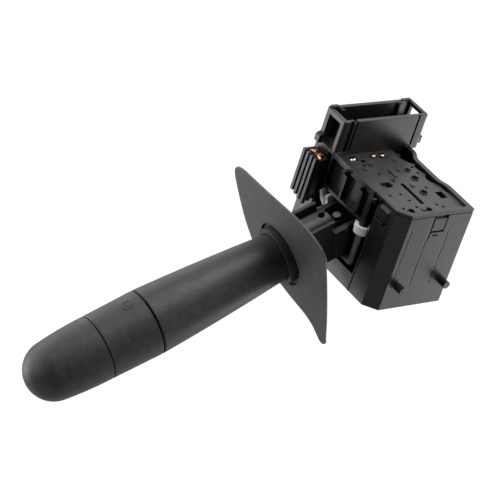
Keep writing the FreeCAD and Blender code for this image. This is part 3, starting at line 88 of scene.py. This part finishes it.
def new_material(name):
    """An empty node material."""
    material = bpy.data.materials.new(name)
    material.use_nodes = True
    material.node_tree.nodes.clear()
    return material


def add_noise(material, place, size, detail, **more):
    """Noise whose patches have a real size in millimetres."""
    return add_node(material, "ShaderNodeTexNoise", Vector=place, Scale=1 / (size * MM),
                    Detail=detail, **more)


def two_tone(material, place, low, high, size, detail=3.0):
    """A colour that drifts softly between two tones over patches of a real size."""
    drift = add_noise(material, place, size, detail)
    ramp = add_node(material, "ShaderNodeValToRGB", Fac=(drift, "Fac"))
    for number, tone in enumerate((low, high)):
        ramp.color_ramp.elements[number].position = TONE_ENDS[number]
        ramp.color_ramp.elements[number].color = linear(tone)
    return ramp


def two_gloss(material, drift, rough, spread):
    """A roughness that follows a noise between two values about its middle one."""
    return add_node(material, "ShaderNodeMapRange", Value=(drift, "Fac"), From_Min=GLOSS_ENDS[0],
                    From_Max=GLOSS_ENDS[1], To_Min=rough + spread[0], To_Max=rough + spread[1])


def add_surface(material, tone, gloss, bump, metallic):
    """The shader that ends a material."""
    shader = add_node(material, "ShaderNodeBsdfPrincipled", Base_Color=(tone, "Color"),
                      Metallic=metallic, Roughness=(gloss, "Result"), Normal=(bump, "Normal"))
    add_node(material, "ShaderNodeOutputMaterial", Surface=(shader, "BSDF"))


# Sizes of the patches in which tone and gloss drift, in millimetres
PLASTIC_TONE_PATCH = 2.6
PLASTIC_GLOSS_PATCH = 5
METAL_TONE_PATCH = 3
# How far the roughness drifts to either side of its middle value
PLASTIC_GLOSS_SPREAD = (-0.05, 0.06)
METAL_GLOSS_SPREAD = (-0.06, 0.08)
# How much finer the lines of a metal are across them than along them, and their depth
METAL_LINES = (1.0, 12.0, 12.0)
METAL_LINE_DEPTH = 0.01


def moulded(name, low, high, grain, depth, rough, edge=0.0):
    """A moulded plastic: a fine even grain, a soft drift in tone and in gloss, broken edges.

    Size and depth of the grain and the radius of the edges are in millimetres.
    """
    material = new_material(name)
    place = (add_node(material, "ShaderNodeTexCoord"), "Object")
    tone = two_tone(material, place, low, high, PLASTIC_TONE_PATCH, detail=6.0)
    fine = add_noise(material, place, grain, detail=2.0, Roughness=0.6)
    drift = add_noise(material, place, PLASTIC_GLOSS_PATCH, detail=4.0)
    gloss = two_gloss(material, drift, rough, PLASTIC_GLOSS_SPREAD)
    bump = add_node(material, "ShaderNodeBump", Height=(fine, "Fac"), Strength=1.0,
                    Distance=depth * MM)
    if edge:
        rounded = add_node(material, "ShaderNodeBevel", {"samples": 6}, Radius=edge * MM)
        material.node_tree.links.new(rounded.outputs["Normal"], bump.inputs["Normal"])
    add_surface(material, tone, gloss, bump, metallic=0.0)
    return material


def metal(name, low, high, rough, streak):
    """A bare metal with the fine lines that rolling or turning leaves, and faint tarnish."""
    material = new_material(name)
    place = (add_node(material, "ShaderNodeTexCoord"), "Object")
    tone = two_tone(material, place, low, high, METAL_TONE_PATCH)
    drawn = add_node(material, "ShaderNodeMapping", Vector=place, Scale=METAL_LINES)
    lines = add_noise(material, (drawn, "Vector"), streak, detail=3.0)
    bump = add_node(material, "ShaderNodeBump", Height=(lines, "Fac"), Strength=0.4,
                    Distance=METAL_LINE_DEPTH * MM)
    gloss = two_gloss(material, lines, rough, METAL_GLOSS_SPREAD)
    add_surface(material, tone, gloss, bump, metallic=1.0)
    return material


# Finishes

# Polyamide grip from a spark-eroded mould: deep charcoal whose fine grain spreads highlights
# into a wide soft glow.
soft_grip = moulded("soft_matt_polyamide_grip", "#26272a", "#303134",
                    grain=0.50, depth=0.070, rough=0.45)
# Polypropylene sheet shield: lighter and a shade greener than the grip, flat and matt to the
# edge.
shield_sheet = moulded("matt_polypropylene_shield", "#393c3a", "#414442",
                       grain=0.40, depth=0.040, rough=0.50, edge=0.30)
# Glass-filled PBT box: near black, satin, with a fine light line along each moulded edge.
box_pbt = moulded("satin_black_pbt_box", "#151516", "#1b1b1c",
                  grain=0.22, depth=0.010, rough=0.36, edge=0.35)
# The carrier's PBT comes from a smoother mould, so its edges glint a little more.
carrier_pbt = moulded("satin_black_pbt_carrier", "#161617", "#1b1b1c",
                      grain=0.22, depth=0.010, rough=0.34, edge=0.30)
# Phenolic contact plate: grey-black, with a dull even sheen under the studio light.
plate_resin = moulded("grey_black_phenolic_plate", "#1f1f20", "#2a2b2c",
                      grain=0.25, depth=0.010, rough=0.38, edge=0.15)
# Glass-filled polyamide mechanism parts: charcoal, slightly mottled by the fibres.
mechanism_nylon = moulded("glass_filled_polyamide", "#1e1f20", "#252627",
                          grain=0.35, depth=0.015, rough=0.40, edge=0.20)
# Collar polyamide: between grip and mechanism, dry and soft at its rims.
collar_nylon = moulded("charcoal_polyamide_collar", "#242526", "#2a2b2c",
                       grain=0.30, depth=0.020, rough=0.45, edge=0.25)
# Natural acetal: milky white and waxy, with a soft gloss.
white_acetal = moulded("natural_white_acetal", "#f2f5f6", "#fbfcfc",
                       grain=0.50, depth=0.006, rough=0.32, edge=0.20)
# Grey acetal stop rod: dull mid grey, slightly greasy.
grey_acetal = moulded("mid_grey_acetal", "#6c7073", "#7c8083",
                      grain=0.50, depth=0.006, rough=0.36, edge=0.20)
# Slate acetal sliders: darker than the rod, with the smoothness of a running surface.
slider_acetal = moulded("slate_acetal_sliders", "#3f4245", "#4a4e52",
                        grain=0.50, depth=0.006, rough=0.38)
# Contact board: warm brown laminate.
disc_board = moulded("brown_contact_board", "#4c3f26", "#5c4c30",
                     grain=0.40, depth=0.010, rough=0.45)
# Raised mark of the ring: the grip's polyamide, worn a little smoother and paler than the
# grain round it.
raised_mark = moulded("polished_polyamide_mark", "#303134", "#3b3c3f",
                      grain=0.30, depth=0.004, rough=0.24, edge=0.05)
# Bare copper alloy strip, rolled then stamped: warm pale tan with faint tarnish.
copper_strip = metal("stamped_copper_alloy", "#d3a27d", "#e2b896", rough=0.30, streak=0.25)
# Tinned brass blades: pale straw with fine draw lines.
blade_brass = metal("tinned_brass_blades", "#b9a070", "#d2bd8c", rough=0.28, streak=0.25)
# Turned brass contact button: deeper yellow.
turned_brass = metal("turned_brass_button", "#b8954c", "#d0ae66", rough=0.25, streak=0.20)
# Ground and drawn steel pins and springs: cool grey.
plain_steel = metal("ground_steel", "#7f8387", "#999da1", rough=0.32, streak=0.20)
# Blackened steel bracket: dark and oily, with a dull metal sheen.
black_steel = metal("blackened_steel_bracket", "#2a2b2d", "#37383a", rough=0.40, streak=0.25)

FINISHES = {
    soft_grip: ["stalk_sleeve", "fog_ring", "light_cap"],
    shield_sheet: ["shield_plate"],
    box_pbt: ["housing_shell", "contact_block"],
    carrier_pbt: ["terminal_carrier"],
    plate_resin: ["contact_plate"],
    mechanism_nylon: ["indicator_carrier", "stalk_core", "slider_guide"],
    collar_nylon: ["shield_collar", "switch_head"],
    white_acetal: ["cancel_lever", "dip_rocker"],
    grey_acetal: ["stop_rod"],
    slider_acetal: ["indicator_slider", "dip_slider"],
    disc_board: ["rotary_contact_disc"],
    copper_strip: ["lead_frame", "leaf_spring", "indicator_wiper", "dip_wiper"],
    blade_brass: ["connector_terminals"],
    turned_brass: ["horn_contact"],
    black_steel: ["pivot_bracket"],
    plain_steel: ["indicator_pivot_pin", "dip_pivot_pin", "rocker_pin", "indicator_spring",
                  "dip_spring", "horn_spring", "cap_clip", "indicator_plunger", "dip_plunger"],
}


def dress(nodes):
    """Gives each CAD node the finish of what it is made of."""
    for finish, names in FINISHES.items():
        for name in names:
            nodes[name].data.materials.clear()
            nodes[name].data.materials.append(finish)


# Pieces built here, on the CAD's frame


def finish_piece(piece, finish, body):
    """Puts a new piece into the scene with its finish, and lets it ride on its body."""
    piece.data.materials.clear()
    piece.data.materials.append(finish)
    bpy.context.scene.collection.objects.link(piece)
    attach(piece, body)


def new_mesh(name, points, faces):
    """A mesh from points in metres and faces."""
    mesh = bpy.data.meshes.new(name)
    mesh.from_pydata([tuple(point) for point in points], [], faces)
    return mesh


def mesh_piece(name, skins, finish, body):
    """One piece from several skins, each a pair of points and faces."""
    points, faces = [], []
    for skin_points, skin_faces in skins:
        faces += [tuple(index + len(points) for index in face) for face in skin_faces]
        points += skin_points
    piece = bpy.data.objects.new(name, new_mesh(name, points, faces))
    finish_piece(piece, finish, body)


def loft(sections, closed=False):
    """The skin over sections of equal counts; closed joins the last section to the first."""
    count = len(sections[0])
    points = [point for section in sections for point in section]
    faces = []
    for number in range(len(sections) if closed else len(sections) - 1):
        here, after = number * count, (number + 1) % len(sections) * count
        for side in range(count):
            beside = (side + 1) % count
            faces.append((here + side, here + beside, after + beside, after + side))
    if not closed:
        faces.append(tuple(reversed(range(count))))
        faces.append(tuple(range((len(sections) - 1) * count, len(sections) * count)))
    return points, faces


def prism(outline, front, back):
    """The skin of an outline in x and z that is drawn out along y, in millimetres."""
    return loft([[Vector((x, y, z)) * MM for x, z in outline] for y in (front, back)])


def round_band(steps, inner, outer, low, high, point_at):
    """The skin of a flat round band; point_at turns radius, angle and height into a point."""
    corners = ((inner, low), (inner, high), (outer, high), (outer, low))
    angles = [math.tau * step / steps for step in range(steps)]
    return loft([[point_at(radius, angle, height) for radius, height in corners]
                 for angle in angles], closed=True)


# Raised marks of the ring, and the painted shade of the cap's dimple


def ring_wall(along):
    """Radius of the fog lamp ring at a distance along the lever, in millimetres."""
    foot, length, radius, taper = 81.4, 18.9, 12.35, 0.3
    return radius - taper * (along - foot) / length


def cap_wall(along):
    """Radius of the cap's side at a distance along the lever, in millimetres."""
    foot, radius, curve = 100.9, 12.05, 0.0105
    return radius - curve * (along - foot) ** 2


# Name, wall, distance along the lever, turn round it in degrees, inner and outer radius, height
# above the wall, finish and body
MARKS = (
    ("fog_ring_mark", ring_wall, 86.85, 86.9, 1.75, 2.15, 0.14, raised_mark, "ring"),
    ("fog_ring_dot", ring_wall, 86.85, 86.9, 0.02, 0.60, 0.12, raised_mark, "ring"),
    # The cap's dimple is no hollow here: a thin near-black disc of the box's PBT is its painted
    # shade.
    ("cap_gate_mark", cap_wall, 105.57, 87.4, 0.02, 0.42, 0.03, box_pbt, "cap"),
)
MARK_STEPS = 48
MARK_ROOT = -0.05


def on_wall(wall, middle, turn):
    """A function that lays radius, angle and height round a middle onto a wall of the lever."""
    def point_at(radius, angle, height):
        along = middle + radius * math.cos(angle)
        around = math.radians(turn) + radius * math.sin(angle) / wall(middle)
        reach = wall(along) + height
        return on_lever(along, reach * math.cos(around), reach * math.sin(around))
    return point_at


def make_marks():
    """A plain raised ring and dot on the fog lamp ring, and a near-black disc on the cap that
    paints the shade of its dimple.
    """
    for name, wall, middle, turn, inner, outer, height, finish, body in MARKS:
        band = round_band(MARK_STEPS, inner, outer, MARK_ROOT, height, on_wall(wall, middle, turn))
        mesh_piece(name, [band], finish, body)


# Node groups that make pieces


def new_group(name, inputs):
    """A node group that gives a mesh: the group, its input node, and each input's identifier."""
    tree = bpy.data.node_groups.new(name, "GeometryNodeTree")
    tree.interface.new_socket(name="Geometry", in_out="OUTPUT", socket_type="NodeSocketGeometry")
    keys = {}
    for title, kind in inputs:
        socket = tree.interface.new_socket(name=title, in_out="INPUT", socket_type=kind)
        keys[title] = socket.identifier
    return tree, add_node(tree, "NodeGroupInput"), keys


def end_group(tree, given, placed):
    """Ends a node group: what was placed, as one real mesh in the given metal."""
    real = add_node(tree, "GeometryNodeRealizeInstances", Geometry=(placed, "Geometry"))
    dressed = add_node(tree, "GeometryNodeSetMaterial", Geometry=(real, "Geometry"),
                       Material=(given, "Metal"))
    add_node(tree, "NodeGroupOutput", Geometry=(dressed, "Geometry"))


def baked(name, tree, keys, values):
    """A new object with the plain mesh that a node group makes from its named inputs."""
    carrier = bpy.data.objects.new(name + "_carrier", bpy.data.meshes.new(name + "_carrier"))
    bpy.context.scene.collection.objects.link(carrier)
    modifier = carrier.modifiers.new("nodes", "NODES")
    modifier.node_group = tree
    for title, value in values.items():
        modifier[keys[title]] = value
    bpy.context.view_layer.update()
    depsgraph = bpy.context.evaluated_depsgraph_get()
    mesh = bpy.data.meshes.new_from_object(carrier.evaluated_get(depsgraph))
    mesh.name = name
    bpy.data.objects.remove(carrier)
    return bpy.data.objects.new(name, mesh)


# Connector blades

# Height and half width of each section of a blade: foot, shank, and a tip with four chamfers
BLADE_SECTIONS = ((0.0, 0.45), (0.5, 0.45), (0.7, 0.34), (5.9, 0.34), (6.5, 0.30), (6.95, 0.12))
BLADES_IN_ROW = 8
BLADE_ROWS = 2
BLADE_PITCH = 4.0
BLADE_ROW_GAP = 4.2
BLADES_MIDDLE = (-0.75, 47.2, 31.0)


def blade_group():
    """The node group that sets out one blade in rows."""
    tree, given, keys = new_group("blade_rows", (
        ("Blade", "NodeSocketObject"), ("Pitch", "NodeSocketFloat"), ("Row gap", "NodeSocketFloat"),
        ("Middle", "NodeSocketVector"), ("Metal", "NodeSocketMaterial")))
    width = add_node(tree, "ShaderNodeMath", {"operation": "MULTIPLY"}, _0=(given, "Pitch"),
                     _1=BLADES_IN_ROW - 1)
    spots = add_node(tree, "GeometryNodeMeshGrid", Size_X=(width, "Value"),
                     Size_Y=(given, "Row gap"), Vertices_X=BLADES_IN_ROW, Vertices_Y=BLADE_ROWS)
    blade = add_node(tree, "GeometryNodeObjectInfo", Object=(given, "Blade"))
    rows = add_node(tree, "GeometryNodeInstanceOnPoints", Points=(spots, "Mesh"),
                    Instance=(blade, "Geometry"))
    placed = add_node(tree, "GeometryNodeTransform", Geometry=(rows, "Instances"),
                      Translation=(given, "Middle"))
    end_group(tree, given, placed)
    return tree, keys


def make_blades():
    """Two rows of square blades in the connector socket, in place of the CAD ones."""
    points, faces = loft([
        [Vector((x * half, y * half, height)) * MM for x, y in ((-1, -1), (1, -1), (1, 1), (-1, 1))]
        for height, half in BLADE_SECTIONS])
    form = bpy.data.objects.new("blade_form", new_mesh("blade_form", points, faces))
    bpy.context.scene.collection.objects.link(form)
    tree, keys = blade_group()
    piece = baked("connector_blades", tree, keys, {
        "Blade": form, "Pitch": BLADE_PITCH * MM, "Row gap": BLADE_ROW_GAP * MM,
        "Middle": Vector(BLADES_MIDDLE) * MM, "Metal": blade_brass})
    bpy.data.objects.remove(form)
    finish_piece(piece, blade_brass, "box")
    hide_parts("connector_terminals")


# Coil springs

# Name, body, node, middle of the coil, its length, radius, wire radius and turns
COILS = (
    ("indicator_coil", "signal_carrier", "indicator_spring", (-9.2, 30.0, 10.02),
     6.25, 0.72, 0.19, 9.0),
    ("dip_coil", "lever", "dip_spring", (-29.69, 30.0, 5.93), 4.95, 0.72, 0.19, 8.0),
    ("horn_coil", "lever", "horn_spring", (-116.09, 30.0, -35.84), 0.48, 3.6, 0.26, 2.0),
)
COIL_STEPS = 40
WIRE_SIDES = 12


def coil_group():
    """The node group of an open coil of round wire along the lever."""
    tree, given, keys = new_group("lever_coil", (
        ("Turns", "NodeSocketFloat"), ("Radius", "NodeSocketFloat"), ("Wire", "NodeSocketFloat"),
        ("Length", "NodeSocketFloat"), ("Foot", "NodeSocketVector"),
        ("Metal", "NodeSocketMaterial")))
    line = add_node(tree, "GeometryNodeCurveSpiral", Resolution=COIL_STEPS,
                    Rotations=(given, "Turns"), Start_Radius=(given, "Radius"),
                    End_Radius=(given, "Radius"), Height=(given, "Length"))
    section = add_node(tree, "GeometryNodeCurvePrimitiveCircle", Resolution=WIRE_SIDES,
                       Radius=(given, "Wire"))
    wire = add_node(tree, "GeometryNodeCurveToMesh", Curve=(line, "Curve"),
                    Profile_Curve=(section, "Curve"), Fill_Caps=True)
    inward = (-OUTWARD).to_track_quat("Z", "Y").to_euler()
    placed = add_node(tree, "GeometryNodeTransform", Geometry=(wire, "Mesh"),
                      Translation=(given, "Foot"), Rotation=inward)
    end_group(tree, given, placed)
    return tree, keys


def make_springs():
    """Round wire coils in place of the three CAD ones."""
    tree, keys = coil_group()
    for name, body, node, middle, length, radius, wire, turns in COILS:
        foot = Vector(middle) * MM + OUTWARD * (length * MM / 2)
        piece = baked(name, tree, keys, {
            "Turns": turns, "Radius": radius * MM, "Wire": wire * MM, "Length": length * MM,
            "Foot": foot, "Metal": plain_steel})
        piece.data.shade_smooth()
        finish_piece(piece, plain_steel, body)
        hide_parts(node)


# Small details of the box

# Outline of a gusset in x and z, half its width, and the middle of each along y
GUSSET_OUTLINE = ((-22.2, 28.8), (-22.2, 29.3), (-20.2, 29.3), (-20.2, 26.6))
GUSSET_HALF = 0.55
GUSSET_MIDDLES = (32.55, 22.65, 14.6)
# Outline of the socket's catch in x and z, and where it starts and ends along y
CATCH_OUTLINE = ((-20.3, 29.7), (-21.9, 29.9), (-22.1, 30.2), (-22.1, 32.4), (-21.7, 33.0),
                 (-20.3, 33.6))
CATCH_ENDS = (50.2, 52.6)
# Copper leaves: the middle of each in x and y, and its width; the rest is common to all
LEAVES = ((-15.05, 38.25, 1.0), (-13.65, 38.25, 1.0), (-3.95, 39.05, 1.3), (-0.1, 38.75, 1.4))
LEAF_STEPS = 12
LEAF_FOOT, LEAF_RISE, LEAF_FULLNESS = 28.2, 1.55, 0.7
LEAF_HALF_LENGTH, LEAF_THICKNESS = 0.95, 0.16
# Rings on the box: x, y, inner and outer radius of each, and the heights of all
EYELETS = (
    (-12.65, 4.1, 1.34, 1.62), (-4.85, 3.7, 1.34, 1.62), (0.75, 13.9, 1.34, 1.62),
    (3.35, 22.7, 1.34, 1.62), (3.75, 27.9, 0.99, 1.25), (-1.55, 37.0, 0.45, 0.75),
    (-6.65, 23.0, 0.55, 0.85), (-0.65, 18.8, 0.55, 0.80), (-6.65, 4.6, 0.40, 0.62),
)
EYELET_HEIGHTS = (29.85, 30.24)
EJECTOR_RINGS = (
    (-12.0, 10.0, 2.2, 2.4), (8.0, 10.0, 2.2, 2.4), (-12.0, 42.0, 2.2, 2.4), (8.0, 42.0, 2.2, 2.4),
)
EJECTOR_HEIGHTS = (-10.14, -10.05)
RING_STEPS = 40


def make_gussets():
    """Three small gussets where the skirt's ribs meet the rim."""
    mesh_piece("rim_gussets",
               [prism(GUSSET_OUTLINE, y - GUSSET_HALF, y + GUSSET_HALF) for y in GUSSET_MIDDLES],
               carrier_pbt, "box")


def bowed_leaf(x, y, width):
    """The skin of a bowed strip that runs along y."""
    sections = []
    for step in range(LEAF_STEPS + 1):
        share = step / LEAF_STEPS
        along = y + LEAF_HALF_LENGTH * (2 * share - 1)
        z = LEAF_FOOT + LEAF_RISE * math.sin(math.pi * share) ** LEAF_FULLNESS
        sections.append([
            Vector((x + side * width / 2, along, z + lift)) * MM
            for side, lift in ((-1, LEAF_THICKNESS), (1, LEAF_THICKNESS), (1, 0.0), (-1, 0.0))])
    return loft(sections)


def make_leaves():
    """Bowed copper contact leaves that show through the plate's windows."""
    mesh_piece("copper_contact_leaves", [bowed_leaf(*leaf) for leaf in LEAVES],
               copper_strip, "box")


def make_catch():
    """Small catch with a sloped top that stands out at the left of the socket's foot."""
    mesh_piece("socket_catch", [prism(CATCH_OUTLINE, *CATCH_ENDS)], carrier_pbt, "box")


def flat_ring(x, y, inner, outer, low, high):
    """The skin of a flat ring on the box."""
    def point_at(radius, angle, height):
        return Vector((x + radius * math.cos(angle), y + radius * math.sin(angle), height)) * MM
    return round_band(RING_STEPS, inner, outer, low, high, point_at)


def make_rings():
    """Raised eyelets round the plate's holes, and the ejector pins' witness rings below."""
    mesh_piece("plate_eyelets", [flat_ring(*ring, *EYELET_HEIGHTS) for ring in EYELETS],
               plate_resin, "box")
    mesh_piece("ejector_rings", [flat_ring(*ring, *EJECTOR_HEIGHTS) for ring in EJECTOR_RINGS],
               box_pbt, "box")


# Studio, with all places in metres

# The soft light that stands round the switch: brightness and direction of each wide glow.
# It comes from the sides, the back and above, and little from where the camera stands.
GLOWS = (
    (2.7, (0.93, 0.34, 0.15)), (2.2, (0.75, -0.48, 0.45)),
    (2.2, (-0.92, 0.38, 0.15)), (2.0, (-0.24, 0.90, 0.35)), (0.9, (0.30, 0.94, 0.05)),
    (0.7, (-0.39, 0.36, 0.85)), (0.6, (-0.51, 0.85, 0.05)),
)
GLOW_SHARPNESS = 9.0
# The floor: its height, half its side, its two tones and the size of their patches in
# millimetres, and how much it is lifted for the camera
FLOOR_HEIGHT = -0.45
FLOOR_HALF = 3
FLOOR_TONES = ("#a4a4a3", "#a8a8a7")
FLOOR_PATCH = 400
FLOOR_LIFT = 0.70
# Name, place and target of each lamp, its side and its power in watts
LAMPS = (
    ("overhead", (0.23, 0.03, 0.86), (-0.05, 0.03, 0.0), 0.72, 8.4),
    ("low_right", (0.38, -0.06, -0.15), (-0.03, 0.02, 0.0), 0.36, 1.6),
    ("low_left", (-0.34, 0.40, -0.22), (-0.03, 0.02, 0.0), 0.30, 1.0),
)
# The camera of the photograph: focal length and sensor in millimetres, the nearest distance that
# it sees, the directions to its right, its top and its back, and its place
CAMERA_LENS = 162.9
CAMERA_SENSOR = 36
CAMERA_NEAREST = 0.01
CAMERA_RIGHT = (0.79841932, -0.53717658, 0.27197042)
CAMERA_UP = (0.10844203, 0.57260901, 0.81262491)
CAMERA_BACK = (-0.59225578, -0.61932241, 0.51543461)
CAMERA_PLACE = (-0.53004, -0.46534, 0.41315)


def surround_light(world):
    """The summed brightness of the glows in the direction that a ray leaves."""
    place = add_node(world, "ShaderNodeTexCoord")
    way = add_node(world, "ShaderNodeVectorMath", {"operation": "NORMALIZE"},
                   _0=(place, "Generated"))
    total = None
    for brightness, toward in GLOWS:
        facing = add_node(world, "ShaderNodeVectorMath", {"operation": "DOT_PRODUCT"},
                          _0=(way, "Vector"), _1=Vector(toward).normalized())
        fading = add_node(world, "ShaderNodeMath", {"operation": "MULTIPLY_ADD"},
                          _0=(facing, "Value"), _1=GLOW_SHARPNESS,
                          _2=math.log(brightness) - GLOW_SHARPNESS)
        glow = add_node(world, "ShaderNodeMath", {"operation": "EXPONENT"}, _0=(fading, "Value"))
        if total:
            glow = add_node(world, "ShaderNodeMath", {"operation": "ADD"}, _0=(total, "Value"),
                            _1=(glow, "Value"))
        total = glow
    return total


def make_world():
    """Plain white to the camera, and the soft glows to everything else."""
    world = bpy.data.worlds.new("studio_surround")
    world.use_nodes = True
    world.node_tree.nodes.clear()
    light = surround_light(world)
    path = add_node(world, "ShaderNodeLightPath")
    lit = add_node(world, "ShaderNodeBackground", Color=WHITE, Strength=(light, "Value"))
    plain = add_node(world, "ShaderNodeBackground", Color=WHITE, Strength=1.0)
    mix = add_node(world, "ShaderNodeMixShader", _0=(path, "Is Camera Ray"),
                   _1=(lit, "Background"), _2=(plain, "Background"))
    add_node(world, "ShaderNodeOutputWorld", Surface=(mix, "Shader"))
    bpy.context.scene.world = world


def floor_board():
    """Pale board: lifted to white for the camera while its shadow stays, and clear from below."""
    material = new_material("pale_studio_board")
    path = add_node(material, "ShaderNodeLightPath")
    place = (add_node(material, "ShaderNodeTexCoord"), "Object")
    tone = two_tone(material, place, *FLOOR_TONES, FLOOR_PATCH)
    lift = add_node(material, "ShaderNodeMath", {"operation": "MULTIPLY"},
                    _0=(path, "Is Camera Ray"), _1=FLOOR_LIFT)
    board = add_node(material, "ShaderNodeBsdfPrincipled", Base_Color=(tone, "Color"),
                     Roughness=0.9, Specular_IOR_Level=0.0, Emission_Color=WHITE,
                     Emission_Strength=(lift, "Value"))
    side = add_node(material, "ShaderNodeNewGeometry")
    clear = add_node(material, "ShaderNodeBsdfTransparent")
    mix = add_node(material, "ShaderNodeMixShader", _0=(side, "Backfacing"), _1=(board, "BSDF"),
                   _2=(clear, "BSDF"))
    add_node(material, "ShaderNodeOutputMaterial", Surface=(mix, "Shader"))
    return material


def make_floor():
    """A wide plain floor well below the switch."""
    corners = [(x * FLOOR_HALF, y * FLOOR_HALF, FLOOR_HEIGHT)
               for x, y in ((-1, -1), (1, -1), (1, 1), (-1, 1))]
    mesh = new_mesh("studio_floor", corners, [(0, 1, 2, 3)])
    mesh.materials.append(floor_board())
    floor = bpy.data.objects.new("studio_floor", mesh)
    bpy.context.scene.collection.objects.link(floor)


def make_lamp(name, place, target, size, power):
    """A square soft lamp that faces its target."""
    data = bpy.data.lights.new(name, "AREA")
    data.size = size
    data.energy = power
    lamp = bpy.data.objects.new(name, data)
    lamp.location = place
    lamp.visible_camera = False
    lamp.rotation_euler = (Vector(target) - Vector(place)).to_track_quat("-Z", "Y").to_euler()
    bpy.context.scene.collection.objects.link(lamp)


def make_camera():
    """The camera of the photograph."""
    data = bpy.data.cameras.new("photo_camera")
    data.sensor_width = CAMERA_SENSOR
    data.lens = CAMERA_LENS
    data.clip_start = CAMERA_NEAREST
    camera = bpy.data.objects.new("photo_camera", data)
    rows = list(zip(CAMERA_RIGHT, CAMERA_UP, CAMERA_BACK, CAMERA_PLACE))
    camera.matrix_world = Matrix(rows + [(0, 0, 0, 1)])
    bpy.context.scene.collection.objects.link(camera)
    bpy.context.scene.camera = camera


def make_studio():
    """The surround, the floor, three lamps and the camera."""
    bpy.context.scene.view_settings.view_transform = "Standard"
    make_world()
    make_floor()
    for lamp in LAMPS:
        make_lamp(*lamp)
    make_camera()


dress(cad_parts)
make_marks()
make_blades()
make_springs()
make_gussets()
make_leaves()
make_catch()
make_rings()
make_studio()
